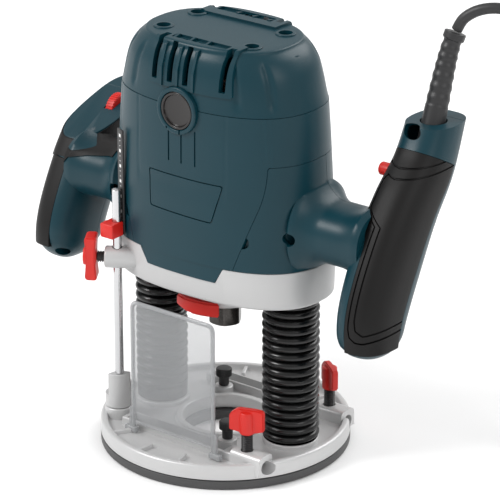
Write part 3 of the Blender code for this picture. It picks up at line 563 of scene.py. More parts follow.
for side in (1, -1):
    y = side * ROD_WAY_Y
    x = side * COLUMN_X
    cut(base, block((-0.0425, y - 0.0045, 0.0085), (0.036, y + 0.0045, 0.03)))
    cut(base, rod((0.03, y, 0.0125), (0.09, y, 0.0125), 0.0043))
    cut(base, rod((WING_X, y, 0.0125), (WING_X, y, 0.03), 0.0041))
    cut(base, rod((x, 0, 0.002), (x, 0, 0.03), 0.0093))
    x = side * KNURLED[0]
    cut(base, rod((x, side * KNURLED[1], 0.0075), (x, side * KNURLED[1], 0.03), 0.0028, sides=24))
cut(base, rod((*TURRET, 0.0095), (*TURRET, 0.03), 0.0023, sides=24))
for x, y in SOLE_SCREWS:
    cut(base, rod((x, y, 0.004), (x, y, 0.0112), 0.0026, sides=24))
PAINT = (0.58, 0.58, 0.58)
pale_casting = finish_of("pale_casting", PAINT, 0.36, cloud=0.05, grain=1100.0, relief=0.35, metal=0.25)
put(base, "base", pale_casting, "cast_aluminium", "base_plate")

# ---- Columns, bellows and springs ----
# Two steel guide columns stand in the casting. A spring in each pushes the head up, and black
# rubber bellows with rounded folds cover them from the casting to the head.

STEEL_BRIGHT = (0.62, 0.62, 0.63)
STEEL_PLAIN = (0.42, 0.42, 0.43)
bright_steel = finish_of("bright_steel", STEEL_BRIGHT, 0.20, cloud=0.03, grain=2500.0, relief=0.08, metal=1.0)
plain_steel = finish_of("plain_steel", STEEL_PLAIN, 0.34, cloud=0.05, grain=2200.0, relief=0.12, metal=1.0)
COLUMN_RADIUS = 0.009
COLUMN_BORE = 0.0066
COLUMN_TOP = 0.185
SPRING_TURNS = 9
SPRING_LOW = 0.0139
SPRING_TOP = 0.1843
SPRING_RADIUS = 0.0049
SPRING_WIRE = 0.0007
spring_wire = finish_of("spring_wire", (0.26, 0.26, 0.28), 0.32, metal=1.0)
rubber = finish_of("bellows_rubber", (0.0035, 0.0035, 0.0037), 0.24, cloud=0.15, grain=1200.0, relief=0.10)
rubber.node_tree.nodes["Principled BSDF"].inputs["Specular IOR Level"].default_value = 0.45
BELLOWS = {"right": (1, 0.0182, 0.0157, 17, 0.0), "left": (-1, 0.0168, 0.0157, 15, 0.0085)}
BELLOWS_TOP = 0.1117

for name, (side, outer, low, folds, collar) in BELLOWS.items():
    column_profile = [(0.0, 0.0063, 0), (COLUMN_RADIUS, 0.0063, 0.0004), (COLUMN_RADIUS, COLUMN_TOP, 0.0010)]
    column_profile += [(COLUMN_BORE, COLUMN_TOP, 0.0004), (COLUMN_BORE, 0.0120, 0), (0.0, 0.0120, 0)]
    column = lathe(f"guide_column_{name}", rounded(column_profile, 0.0), (side * COLUMN_X, 0, 0), 64)
    put(column, "base", bright_steel, "steel", f"column_{name}")
    fold_low = low + collar
    pitch = (BELLOWS_TOP - fold_low) / folds
    profile = [(0.0098, low), (outer - 0.0008, low)]
    if collar:
        profile += [(outer - 0.0006, low + 0.0004), (outer - 0.0006, fold_low - 0.0002)]
    for step in range(folds * 10 + 1):
        wave = abs(math.sin(math.pi * step / 10)) ** 0.62
        profile.append((outer - 0.0030 + 0.0030 * wave, fold_low + pitch * step / 10))
    profile += [(0.0098, BELLOWS_TOP)]
    bellows = lathe(f"rubber_bellows_{name}", profile, (side * COLUMN_X, 0, 0), 72, 75)
    put(bellows, None, rubber, "black_rubber", f"bellows_{name}")
    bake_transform(bellows)
    helix = []
    for step in range(SPRING_TURNS * 36 + 1):
        angle = CIRCLE * step / 36
        z = SPRING_LOW + (SPRING_TOP - SPRING_LOW) * step / (SPRING_TURNS * 36)
        helix.append((side * COLUMN_X + SPRING_RADIUS * math.cos(angle), SPRING_RADIUS * math.sin(angle), z))
    spring = mesh_from(f"plunge_spring_coil_{name}", tube(helix, lambda share: SPRING_WIRE, 8))
    put(spring, None, spring_wire, "steel", f"plunge_spring_{name}")
    x = side * COLUMN_X
    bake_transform(spring)

# ---- Chip guard ----
# A clear plastic window across the front, with rolled side edges, rounded top corners and sprung
# feet that clip into the front trough.

GUARD_Y = -0.0530
GUARD_HALF = 0.031
GUARD_LOW = 0.0190
GUARD_TOP = 0.1020


def clear_plastic(name, cover):
    """Clear plastic that greys what is behind it a little, with a glossy skin."""
    smoke = (0.40, 0.41, 0.42)
    material = finish_of(name, smoke, 0.10, cloud=0.02, grain=500.0, relief=0.03, rough_spread=0.03)
    nodes = material.node_tree.nodes
    links = material.node_tree.links
    streaks = nodes.new("ShaderNodeTexNoise")
    streaks.inputs["Scale"].default_value = 12.0
    links.new(nodes["Texture Coordinate"].outputs["Object"], streaks.inputs["Vector"])
    share = nodes.new("ShaderNodeMapRange")
    share.inputs["To Min"].default_value = cover - 0.05
    share.inputs["To Max"].default_value = cover + 0.05
    links.new(streaks.outputs["Fac"], share.inputs["Value"])
    links.new(share.outputs["Result"], nodes["Principled BSDF"].inputs["Alpha"])
    return material


panel = rounded(
    [
        (-GUARD_HALF - 0.0012, GUARD_LOW, 0.0005),
        (GUARD_HALF + 0.0012, GUARD_LOW, 0.0005),
        (GUARD_HALF + 0.0012, GUARD_TOP, 0.0045),
        (-GUARD_HALF - 0.0012, GUARD_TOP, 0.0045),
    ],
    0.001,
    8,
)
guard = mesh_from("guard_window", slab(panel, GUARD_Y - 0.0008, GUARD_Y + 0.0008, "Y"))
put(guard, "base", clear_plastic("guard_clear", 0.42), "clear_plastic", "chip_guard")
edge_route = [(x, GUARD_Y, z) for x, z in panel]
first = max(range(len(edge_route)), key=lambda i: edge_route[i][0] - edge_route[i][2] * 10)
ring = edge_route[first:] + edge_route[:first]
ring = [point for point in ring if point[2] > GUARD_LOW + 0.0004]
ring = [(ring[0][0], GUARD_Y, 0.0165), *ring, (ring[-1][0], GUARD_Y, 0.0165)]
rails = mesh_from("guard_edges", tube(ring, lambda u: 0.0014, 14), 60)
for side in (1, -1):
    x = side * 0.034
    join(rails, block((x - 0.0045, GUARD_Y - 0.0019, 0.0127), (x + 0.0045, GUARD_Y + 0.0019, 0.0165), 0.0006))
    join(rails, rod((x, GUARD_Y, 0.0140), (x, GUARD_Y, 0.0300), 0.0018, 0.0006, 0.0012, 24))
put(rails, "base", clear_plastic("guard_edge_clear", 0.62), "clear_plastic")

# ---- Stop turret and base screws ----
# The turret is a turned stop with three steps, on a screw. Black knurled screws hold a guide ring,
# and red wing screws on black threads clamp the parallel guide's rods.

turret = lathe(
    "turret",
    rounded([(0.0026, 0.0200), (0.0083, 0.0200), (0.0083, 0.0435), (0.0026, 0.0435)], 0.0006),
    (*TURRET, 0),
    72,
)


def sector(start, end, radius, at):
    """Outline of a slice of a disc, between two angles in degrees."""
    points = [at]
    for step in range(17):
        turn = math.radians(start + (end - start) * step / 16)
        points.append((at[0] + radius * math.cos(turn), at[1] + radius * math.sin(turn)))
    return points


for step, start, end in ((1, 20, 143), (2, 140, 260)):
    cut(turret, slab(sector(start, end, 0.012, TURRET), 0.0435 - step * 0.0075, 0.05))
TURRET_WHITE = (0.52, 0.52, 0.52)
turret_white = finish_of("white_plastic_turret", TURRET_WHITE, 0.42, cloud=0.03, grain=1500.0, metal=0.1)
put(turret, "turret", turret_white, "cast_aluminium", "stop_turret")
turret_pin = mesh_from("turret_pin", rod((*TURRET, 0.0100), (*TURRET, 0.0285), 0.0019, 0.0004, sides=32))
join(turret_pin, rod((*TURRET, 0.0270), (*TURRET, 0.0420), 0.0022, 0.0006, sides=32))
put(turret_pin, "base", plain_steel, "steel", "turret_screw")


def repeat_round(name, piece, count, radius, material):
    """Puts copies of a piece round an axis at the origin with Geometry Nodes, and realises them."""
    tree = bpy.data.node_groups.new(name, "GeometryNodeTree")
    count_in = tree.interface.new_socket("Count", in_out="INPUT", socket_type="NodeSocketInt")
    radius_in = tree.interface.new_socket("Radius", in_out="INPUT", socket_type="NodeSocketFloat")
    rib_in = tree.interface.new_socket("Rib", in_out="INPUT", socket_type="NodeSocketObject")
    tree.interface.new_socket("Geometry", in_out="OUTPUT", socket_type="NodeSocketGeometry")
    nodes = tree.nodes
    links = tree.links
    entry = nodes.new("NodeGroupInput")
    circle = nodes.new("GeometryNodeMeshCircle")
    links.new(entry.outputs["Count"], circle.inputs["Vertices"])
    links.new(entry.outputs["Radius"], circle.inputs["Radius"])
    place = nodes.new("GeometryNodeInputPosition")
    facing = nodes.new("FunctionNodeAlignRotationToVector")
    facing.axis = "X"
    links.new(place.outputs["Position"], facing.inputs["Vector"])
    source = nodes.new("GeometryNodeObjectInfo")
    links.new(entry.outputs["Rib"], source.inputs["Object"])
    copies = nodes.new("GeometryNodeInstanceOnPoints")
    links.new(circle.outputs["Mesh"], copies.inputs["Points"])
    links.new(source.outputs["Geometry"], copies.inputs["Instance"])
    links.new(facing.outputs["Rotation"], copies.inputs["Rotation"])
    real = nodes.new("GeometryNodeRealizeInstances")
    links.new(copies.outputs["Instances"], real.inputs["Geometry"])
    dressed = nodes.new("GeometryNodeSetMaterial")
    dressed.inputs["Material"].default_value = material
    links.new(real.outputs["Geometry"], dressed.inputs["Geometry"])
    leave_tree = nodes.new("NodeGroupOutput")
    links.new(dressed.outputs["Geometry"], leave_tree.inputs["Geometry"])
    holder = mesh_from(name, bmesh.new())
    modifier = holder.modifiers.new("repeat", "NODES")
    modifier.node_group = tree
    modifier[count_in.identifier] = count
    modifier[radius_in.identifier] = radius
    modifier[rib_in.identifier] = piece
    graph_mesh(holder)
    used = piece.data
    bpy.data.objects.remove(piece)
    bpy.data.meshes.remove(used)
    return holder


def move(piece, matrix):
    """Places a finished mesh by moving its points."""
    piece.data.transform(matrix)
    return piece


def gather(name, *pieces):
    """Puts several meshes into one piece without welding them."""
    bm = bmesh.new()
    for piece in pieces:
        bm.from_mesh(piece.data)
    made = mesh_from(name, bm)
    for piece in pieces:
        used = piece.data
        bpy.data.objects.remove(piece)
        bpy.data.meshes.remove(used)
    return made


for name, side in (("front", 1), ("rear", -1)):
    x = side * KNURLED[0]
    y = side * KNURLED[1]
    stem = mesh_from("stem", rod((x, y, 0.0085), (x, y, 0.0180), 0.0025, 0.0004, sides=32))
    join(stem, rod((x, y, 0.0172), (x, y, 0.0236), 0.0034, 0.0004))
    join(stem, rod((x, y, 0.0232), (x, y, 0.0290), 0.0050, 0.0008))
    rib = mesh_from("rib", block((-0.00028, -0.00022, 0.0238), (0.00022, 0.00022, 0.0283)))
    ribs = move(repeat_round("knurl", rib, 40, 0.0050, moulded_black), Matrix.Translation((x, y, 0)))
    screw = gather(f"knurled_screw_{name}", stem, ribs)
    put(screw, f"{name}_ring_screw", moulded_black, "black_plastic", f"ring_screw_{name}")

def soften(shape, angle, offset, segments):
    """Rounds over a shape's edges that turn more sharply than angle."""
    sharp = [edge for edge in shape.edges if edge.calc_face_angle(0) > angle]
    bmesh.ops.bevel(shape, geom=sharp, offset=offset, segments=segments, affect="EDGES")


signal_red = finish_of("signal_red", (0.62, 0.012, 0.006), 0.42, cloud=0.05, grain=1500.0, relief=0.15)
for name, side, yaw in (("front", -1, 20), ("rear", 1, -35)):
    x = WING_X
    y = side * ROD_WAY_Y
    turn = Matrix.Rotation(math.radians(yaw), 4, "Z")
    wing = mesh_from(f"wing_screw_{name}", rod((x, y, 0.0318), (x, y, 0.0466), 0.0048, 0.0010))
    outline = rounded(
        [
            (-0.0112, 0.0338, 0.0010),
            (-0.0040, 0.0325, 0.001),
            (0.0040, 0.0325, 0.001),
            (0.0112, 0.0345, 0.0010),
            (0.0112, 0.0478, 0.0022),
            (0.0060, 0.0486, 0.002),
            (-0.0060, 0.0486, 0.002),
            (-0.0112, 0.0445, 0.0022),
        ],
        0.001,
    )
    blade = slab(outline, -0.0021, 0.0021, "Y")
    soften(blade, 1.2, 0.0007, 2)
    blade.transform(Matrix.Translation((x, y, 0)) @ turn)
    join(wing, blade)
    put(wing, f"{name}_guide_screw", signal_red, "red_plastic", f"guide_screw_{name}")
    thread = []
    for step in range(97):
        thread.append((0.0033 + 0.00035 * math.cos(CIRCLE * step / 8), 0.0172 + 0.0150 * step / 96))
    stub = lathe(f"wing_thread_{name}", [(0.0, 0.0172), *thread, (0.0, 0.0322)], (x, y, 0), 32)
    put(stub, f"{name}_guide_screw", moulded_black, "black_steel")

# ---- Motor bracket ----
# An aluminium casting, painted pale grey, that carries the motor: a tall rim with a rounded foot,
# a notch for the housing's lip, a round neck with the spindle's bearing, and bosses for the columns.

BODY_POWER = 2.4
BRACKET_LOW = 0.112
FOOT_ROUND = 0.0022
HOUSING_LOW = 0.137
STOP_ROD = (-0.053, -0.042)
STOP_SCREW_WAY = Vector((-0.84, -0.543, 0)).normalized()
STOP_SCREW_Z = 0.1235
LEVER_AT = (-0.0522, 0.1235)


def body(sections, inset=0.0, count=176, rows=1, relief=None):
    """The head's outer form through its sections (height, half width, half depth), drawn in by inset."""
    rings = []
    last = len(sections) - 1
    for step in range(last * rows + 1):
        i = min(step // rows, last - 1)
        t = step / rows - i
        z, a, b = (p + (q - p) * t for p, q in zip(sections[i], sections[i + 1]))
        ring = []
        for x, y in oval(a - inset, b - inset, BODY_POWER, count):
            if relief:
                x, y = relief(x, y, z, a)
            ring.append((x, y, z))
        rings.append(ring)
    return skin_over(rings)


foot = []
for step in range(6):
    angle = math.pi / 2 * step / 5
    up = FOOT_ROUND * (1 - math.cos(angle))
    out = FOOT_ROUND * math.sin(angle)
    foot.append((BRACKET_LOW + up, 0.0734 + out, 0.0418 + out))
rim = ((0.1360, 0.0758, 0.0463), (0.1368, 0.0755, 0.0460), (0.1370, 0.0750, 0.0455))
bracket = mesh_from("bracket_casting", body((*foot, *rim)))
cut(bracket, body(((0.1180, 0.0690, 0.0390), (0.1400, 0.0690, 0.0395)), count=96))
neck = [(0.0, 0.1003, 0), (0.0300, 0.1003, 0.0018), (0.0304, 0.1080, 0.004), (0.0345, 0.1135, 0.002)]
neck += [(0.0345, 0.1150, 0), (0.0210, 0.1150, 0), (0.0210, 0.1255, 0.0006), (0.0, 0.1255, 0)]
join(bracket, lathe("neck", rounded(neck, 0.001, 6), steps=120))


def tongue(gap):
    """Outline of the housing's lower front lip, which overlaps the bracket, seen from the front."""
    low, high = 0.0265 + gap, 0.0330 + gap
    return [(-low, 0.1270 - gap), (low, 0.1270 - gap), (high, 0.1380), (-high, 0.1380)]


for side in (1, -1):
    join(bracket, rod((side * COLUMN_X, 0, 0.1130), (side * COLUMN_X, 0, 0.1580), 0.0135, 0.0006))
stop_at = Vector((*STOP_ROD, STOP_SCREW_Z))
join(bracket, rod(stop_at - STOP_SCREW_WAY * 0.0145, stop_at + STOP_SCREW_WAY * 0.0078, 0.0070, 0.0012))
cut(bracket, rod((*STOP_ROD, 0.10), (*STOP_ROD, 0.15), 0.0033))
cut(bracket, rod(stop_at + STOP_SCREW_WAY * 0.002, stop_at + STOP_SCREW_WAY * 0.012, 0.0030))
cut(bracket, rod((0, 0, 0.1137), (0, 0, 0.1400), 0.0175), rod((0, 0, 0.09), (0, 0, 0.12), 0.0125))
for side in (1, -1):
    cut(bracket, rod((side * COLUMN_X, 0, 0.10), (side * COLUMN_X, 0, 0.17), 0.0112))
cut(bracket, block((-0.0190, -0.040, 0.0950), (0.0230, -0.0262, 0.1068)))
cut(bracket, rod((0.003, -0.035, 0.1010), (0.003, -0.005, 0.1010), 0.0028, sides=24))
cut(bracket, slab(tongue(0.0003), -0.0600, -0.0424, "Y"))
cut(bracket, rod((LEVER_AT[0], 0.0122, LEVER_AT[1]), (LEVER_AT[0], 0.0600, LEVER_AT[1]), 0.0039, sides=24))
BRACKET_PAINT = (0.50, 0.50, 0.50)
bracket_white = finish_of(
    "white_casting", BRACKET_PAINT, 0.36, cloud=0.03, grain=1300.0, relief=0.25, metal=0.15
)
put(bracket, "head", bracket_white, "cast_aluminium", "motor_bracket")

# ---- Motor housing ----
# Moulded in dark teal plastic, with shallow vertical creases, a lip over the bracket, a panel for
# a label, and round bosses front and rear that hold the brush caps.

SHELL_TOP = 0.205
HOUSING_TOP = 0.236
BRUSH_Z = 0.2335
SHELL_WALL = 0.003
GAP = 0.0003
BODY_SECTIONS = (
    (0.137, 0.0752, 0.0460),
    (0.186, 0.0724, 0.0458),
    (0.213, 0.0705, 0.0456),
    (0.236, 0.0685, 0.0453),
)
teal = finish_of("moulded_teal", (0.0018, 0.0330, 0.0470), 0.36, cloud=0.09, grain=1900.0, relief=0.16)
teal.node_tree.nodes["Principled BSDF"].inputs["Specular IOR Level"].default_value = 0.30


def creased(x, y, z, a):
    """The moulding's shallow panel on the front and rear, and its soft corner ridges."""
    panel = 0.0007 * ease((0.0352 - abs(x)) / 0.0024) * ease((z - 0.176) / 0.016)
    ridge = 0.0006 * math.exp(-(((abs(x) - 0.0575 * a / 0.0710) / 0.0016) ** 2)) * ease((z - 0.200) / 0.010)
    lift = panel + ridge - 0.0004
    return x + math.copysign(ridge * 0.6, x), y + math.copysign(lift, y)


def saddle(side, gap=0.0):
    """Where a handle shell lies over the housing, seen from the front: a slant that turns upright."""
    left = rounded(
        [
            (0.0365 - gap, 0.1300, 0),
            (0.0572 - gap, 0.1870, 0.012),
            (0.0580 - gap, SHELL_TOP + gap, 0.0012),
            (0.0950, SHELL_TOP + gap, 0),
            (0.0950, 0.1300, 0),
        ],
        0.0,
        8,
    )
    return [(side * x, z) for x, z in left]


def housing_form(inset=0.0):
    """The housing's outer form with its creases, drawn in by inset."""
    low = (HOUSING_LOW + GAP, *BODY_SECTIONS[0][1:])
    high = (HOUSING_TOP - GAP, *BODY_SECTIONS[3][1:])
    return body((low, *BODY_SECTIONS[1:3], high), inset, 360, 16, creased)


def engraved(outline_cutter, depth):
    """A cutter that follows the housing's skin, so that it cuts to an even depth."""
    core = body(((0.110, 0.0767, 0.0460), *BODY_SECTIONS, (0.2600, 0.0660, 0.0448)), depth, 200, 3)
    return cut(mesh_from("cutter", outline_cutter), core)


housing = mesh_from("housing_shell", housing_form())
lip = mesh_from("lip", slab(tongue(0.0), -0.0470, -0.0427, "Y"))
keep_in(lip, body(((0.120, 0.0756, 0.0460), (0.139, 0.0752, 0.0458))))
join(housing, lip)
for side in (1, -1):
    seat = mesh_from("seat", slab(saddle(side, GAP), -0.060, 0.060, "Y"))
    cut(seat, body(((0.100, 0.0772, 0.0460), *BODY_SECTIONS), SHELL_WALL, 120, 2))
    cut(housing, seat)
cut(housing, body(((0.1270, 0.0752, 0.0460), *BODY_SECTIONS, (0.2600, 0.0685, 0.0453)), 0.006, 96, 2))

label = rounded([(-0.0240, 0.1915), (0.0330, 0.1912), (0.0250, 0.1655), (-0.0230, 0.1668)], 0.0020)
label_inside = rounded([(-0.0232, 0.1907), (0.0319, 0.1904), (0.0244, 0.1663), (-0.0223, 0.1676)], 0.0016)
frame_cutter = mesh_from("frame_cutter", slab(label, -0.0520, -0.0380, "Y"))
cut(frame_cutter, slab(label_inside, -0.0540, -0.0360, "Y"))
cut(frame_cutter, body(((0.110, 0.0767, 0.0460), *BODY_SECTIONS, (0.2600, 0.0660, 0.0448)), 0.0006, 200, 3))
cut(housing, frame_cutter)
for side in (1, -1):
    boss = [(0.0, side * 0.0340), (0.0150, side * 0.0340), (0.0150, side * 0.0478, 0.0012)]
    boss += [(0.0121, side * 0.0478, 0.0010), (0.0121, side * 0.0372), (0.0, side * 0.0372)]
    ring_mesh = lathe("boss", rounded(boss, 0.0), steps=96)
    ring_mesh.data.transform(Matrix.Translation((0, 0, BRUSH_Z)) @ Matrix.Rotation(math.radians(-90), 4, "X"))
    join(housing, ring_mesh)
    cut(housing, rod((0, side * 0.0372, BRUSH_Z), (0, side * 0.0600, BRUSH_Z), 0.0122, sides=96))
    for x in (-0.0073, 0.0026, 0.0130):
        groove = block((x - 0.0006, side * 0.0440, 0.2000), (x + 0.0006, side * 0.0500, 0.2225), 0.0003)
        cut(housing, engraved(groove, 0.0004))
put(housing, "head", teal, "teal_plastic", "motor_housing")

# ---- Brush caps ----
# Black screw-in caps in the round bosses at the front and rear, each with a dished face.
# Behind them, carbon brushes press on the commutator.

cap_black = finish_of("brush_cap_black", (0.008, 0.006, 0.0055), 0.24, grain=900.0, relief=0.12)
for name, side in (("front", -1), ("rear", 1)):
    dish = [(0.0, 0.0376, 0), (0.0119, 0.0376, 0), (0.0119, 0.0474, 0.0008)]
    dish += [(0.0102, 0.0474, 0.0006), (0.0098, 0.0458, 0.0006), (0.0, 0.0454, 0)]
    brush_cap = lathe(f"brush_cap_{name}_dished", rounded(dish, 0.0, 5), steps=96)
    turn = Matrix.Rotation(math.radians(90 if side < 0 else -90), 4, "X")
    move(brush_cap, Matrix.Translation((0, 0, BRUSH_Z)) @ turn)
    put(brush_cap, "head", cap_black, "black_plastic", f"brush_cap_{name}")

# ---- Top cap ----
# The motor's teal lid. It narrows to a flat top with four sunk screws, and has a raised block of
# air slots and fins at the front and rear, and flat facets round its shoulders.

CAP_SECTIONS = (
    (0.236, 0.0685, 0.0453),
    (0.257, 0.0630, 0.0434),
    (0.2665, 0.0572, 0.0408),
    (0.2730, 0.0495, 0.0368),
)
CAP_SCREWS = {side: [(side * 0.0343, 0.0166), (side * 0.0343, -0.0166)] for side in (1, -1)}


def cap_ring(z):
    """Half width and half depth of the lid at a height, with its shoulder rounded over."""
    u = (z - CAP_SECTIONS[0][0]) / (CAP_SECTIONS[-1][0] - CAP_SECTIONS[0][0])
    keys = [(s[0] - 0.236) / 0.037 for s in CAP_SECTIONS]
    i = max(k for k in range(3) if keys[k] <= u + 1e-9)
    t = (u - keys[i]) / (keys[i + 1] - keys[i])
    below, low, high, above = (CAP_SECTIONS[min(max(k, 0), 3)] for k in (i - 1, i, i + 1, i + 2))
    half = []
    for axis in (1, 2):
        slope_low = (high[axis] - below[axis]) / (high[0] - below[0]) * (high[0] - low[0])
        slope_high = (above[axis] - low[axis]) / (above[0] - low[0]) * (high[0] - low[0])
        half.append(
            (2 * t**3 - 3 * t**2 + 1) * low[axis]
            + (t**3 - 2 * t**2 + t) * slope_low
            + (3 * t**2 - 2 * t**3) * high[axis]
            + (t**3 - t**2) * slope_high
        )
    return half


def facets(x, y, z, a):
    """Flat facets between soft upright valleys round the lid's shoulders."""
    low = ease((z - 0.2375) / 0.008)
    high = ease((0.2700 - z) / 0.006)
    share = abs(x) / a
    valley = 0.0
    for middle, wide, deep in ((0.60, 0.030, 0.0012), (0.865, 0.022, 0.0014)):
        valley += deep * math.exp(-(((share - middle) / wide) ** 2))
    drawn = valley * low * high
    away = Vector((x, y * 2.2)).normalized()
    return x - away.x * drawn, y - away.y * drawn


def lid_form(inset=0.0, low=HOUSING_TOP, top=0.2730, rim=0.0012, count=360, relief=facets):
    """The lid's outer form, drawn in by inset, with its top edge rounded over by rim."""
    rings = []
    steps = 30
    for step in range(steps + 1):
        z = low + (top - rim - low) * step / steps
        rings.append((z, *(half - inset for half in cap_ring(max(z, 0.236)))))
    a, b = rings[-1][1:]
    for step in range(1, 6):
        turn = math.pi / 2 * step / 5
        drawn = 0.0022 * (1 - math.cos(turn))
        rings.append((top - rim + rim * math.sin(turn), a - drawn, b - drawn))
    return body(rings, 0.0, count, 1, relief)


lid = mesh_from("lid", lid_form())
lid_room = lid_form(SHELL_WALL, 0.2300, 0.2695, 0.0012, 96, None)
cut(lid, lid_room)
for side in (1, -1):
    join(lid, rod((side * COLUMN_X, 0, 0.1862), (side * COLUMN_X, 0, 0.2680), 0.0044, 0.0004, sides=32))
    for x, y in CAP_SCREWS[side]:
        join(lid, rod((x, y, 0.2400), (x, y, 0.2738), 0.0064, 0.0007, sides=48))
join(lid, rod((0, 0, 0.2460), (0, 0, 0.2700), 0.0145))
cut(lid, rod((0, 0, 0.2400), (0, 0, 0.2560), 0.0113))
# Each air slot is (x, top) at the front. The rear has the same slots turned half round.
VENT_HALF = 0.0021
FIN_HALF = 0.0009
VENTS = ((-0.0195, 0.2735), (-0.0070, 0.2700), (0.0050, 0.2690), (0.0310, 0.2735))
for side in (1, -1):
    outline = [(-0.0265 * side, 0.2470), (0.0375 * side, 0.2470)]
    outline += [(0.0345 * side, 0.2810), (-0.0240 * side, 0.2810)]
    proud = mesh_from("proud", slab(rounded(outline, 0.0015), -0.060 * side, -0.0190 * side, "Y"))
    keep_in(proud, lid_form(-0.0010, 0.2440, 0.2745, 0.0030, 240, None))
    cut(proud, lid_form(SHELL_WALL - 0.0006, 0.2300, 0.2690, 0.0012, 96, None))
    hollow = block((-0.0150 * side, -0.0265 * side, 0.2712), (0.0270 * side, -0.0330 * side, 0.2800), 0.0004)
    cut(proud, hollow)
    join(lid, proud)
    for x, top in VENTS:
        x *= side
        near = (x - VENT_HALF, -0.0285 * side, 0.2500)
        cut(lid, block(near, (x + VENT_HALF, -0.0520 * side, top + 0.004), 0.0006))
    fin = [(-0.0270 * side, 0.2660), (-0.0420 * side, 0.2470), (-0.0462 * side, 0.2470)]
    fin += [(-0.0455 * side, 0.2590), (-0.0405 * side, 0.2722), (-0.0270 * side, 0.2752)]
    for x in (-0.0132, -0.0010, 0.0112):
        x *= side
        join(lid, slab(rounded(fin, 0.0006), x - FIN_HALF, x + FIN_HALF, "X"))
    cut(lid, rod((0, -side * 0.0300, BRUSH_Z), (0, -side * 0.0550, BRUSH_Z), 0.0153, sides=96))
for x, y in CAP_SCREWS[1] + CAP_SCREWS[-1]:
    cut(lid, rod((x, y, 0.2595), (x, y, 0.2800), 0.0044, sides=40))
    cut(lid, rod((x, y, 0.2350), (x, y, 0.2610), 0.0022, sides=24))
put(lid, "head", teal, "teal_plastic", "top_cap")

SCREW_GREY = (0.16, 0.16, 0.165)
dark_steel = finish_of("dark_steel", SCREW_GREY, 0.38, cloud=0.06, grain=2400.0, relief=0.15, metal=0.9)
for number, (x, y) in enumerate(CAP_SCREWS[1] + CAP_SCREWS[-1], 1):
    head = rod((x, y, 0.2600), (x, y, 0.2632), 0.0037, 0.0008, sides=40)
    screw = mesh_from(f"lid_screw_{number}", head)
    join(screw, rod((x, y, 0.2420), (x, y, 0.2605), 0.0018, sides=24))
    star = []
    for i in range(12):
        reach = 0.0021 if i % 2 else 0.0014
        star.append((x + reach * math.cos(CIRCLE * i / 12), y + reach * math.sin(CIRCLE * i / 12)))
    cut(screw, slab(star, 0.2614, 0.2650))
    put(screw, "head", dark_steel, "steel", f"cap_screw_{number}")

# ---- Handles ----
# Each handle and its arm is moulded in two teal shells, front and rear, that also wrap the side of
# the housing and meet along its middle. Soft black grips with shallow grooves lie on the front.

HANDLE_X = 0.121
# Up the handle: middle y, middle z, half width, half depth.
HANDLE_LINE = (
    (-0.0125, 0.0935, 0.0160, 0.0205),
    (-0.0090, 0.1200, 0.0172, 0.0245),
    (0.0060, 0.1520, 0.0178, 0.0245),
    (0.0225, 0.1780, 0.0175, 0.0225),
    (0.0410, 0.2000, 0.0168, 0.0200),
    (0.0530, 0.2250, 0.0162, 0.0180),
    (0.0600, 0.2450, 0.0160, 0.0175),
)
HANDLE_POWER = 2.5
HANDLE_END = 0.11
PARTING = 0.008
ARM_Z = 0.160
ARM_Y = 0.003
GRIP_SKIN = 0.002
GRIP_LOW = 0.055
FOOT = {1: 0.0, -1: 0.050}
# Each groove in a grip is (in from the grip's edge, x beside the arm, down from the top, up from
# the bottom).
GROOVES = (
    (0.0026, 0.1075, 0.0046, 0.0045),
    (0.0066, 0.1115, 0.0098, 0.0095),
    (0.0108, 0.1160, 0.0146, 0.0155),
)


def handle_frame(u):
    """Middle (y, z), its direction along the handle and its half sizes, at u from bottom to top."""
    y, z, half_width, half_depth = smooth(HANDLE_LINE, u)
    before = smooth(HANDLE_LINE, max(u - 0.01, 0))
    after = smooth(HANDLE_LINE, min(u + 0.01, 1))
    along = Vector((after[0] - before[0], after[1] - before[1])).normalized()
    return Vector((y, z)), along, half_width, half_depth


def handle(side, inset=0.0, start=0.0, end=1.0, rows=56, round_end=True, count=72):
    """The handle's form, drawn in by inset, with a round lower end."""
    rings = []
    for step in range(rows + 1):
        u = start + (end - start) * (step / rows) ** 1.35
        middle, along, half_width, half_depth = handle_frame(u)
        near = min((u - start) / HANDLE_END, 1.0)
        scale = math.sqrt(1 - (1 - near) ** 2 * 0.86) if round_end else 1.0
        ring = oval((half_width - inset) * scale, (half_depth - inset) * scale, HANDLE_POWER, count)
        y, z = middle
        rings.append([(side * (HANDLE_X + a), y + along[1] * b, z - along[0] * b) for a, b in ring])
    return skin_over(rings)


def arm(side, inset, start, end, rows=30, count=72):
    """The arm from the housing to a handle, flared at both ends."""
    rings = []
    for step in range(rows + 1):
        x = start + (end - start) * step / rows
        flare = max(0.0, 1 - abs(x - 0.070) / 0.016) ** 2
        flare_out = max(0.0, 1 - abs(x - 0.112) / 0.014) ** 2
        half_y = 0.0225 + 0.008 * flare + 0.001 * flare_out - inset
        half_z = 0.0185 + 0.012 * flare + 0.005 * flare_out - inset
        rings.append([(side * x, ARM_Y + y, ARM_Z + z) for y, z in oval(half_y, half_z, 2.3, count)])
    return skin_over(rings)


def parting_outline(gap):
    """The space in front of where the two shells meet, as (y, z)."""
    points = []
    for step in range(31):
        middle, along, _, _ = handle_frame(step / 30)
        shift = PARTING + gap
        points.append((middle[0] + along[1] * shift, middle[1] - along[0] * shift))
    return [(points[0][0], 0.062), *points, (points[-1][0] + 0.02, 0.295), (-0.118, 0.295), (-0.118, 0.062)]


def front_space(side, gap=0.0):
    """The space that a handle's front shell and grip may fill, grown by gap."""
    inner = block((side * 0.020, -0.12, 0.06), (side * (0.1010 + gap), 0.010 + gap, 0.30))
    region = mesh_from("region", inner)
    limits = sorted((side * (0.1005 - gap), side * 0.160))
    return join(region, slab(parting_outline(gap), *limits, "X"))


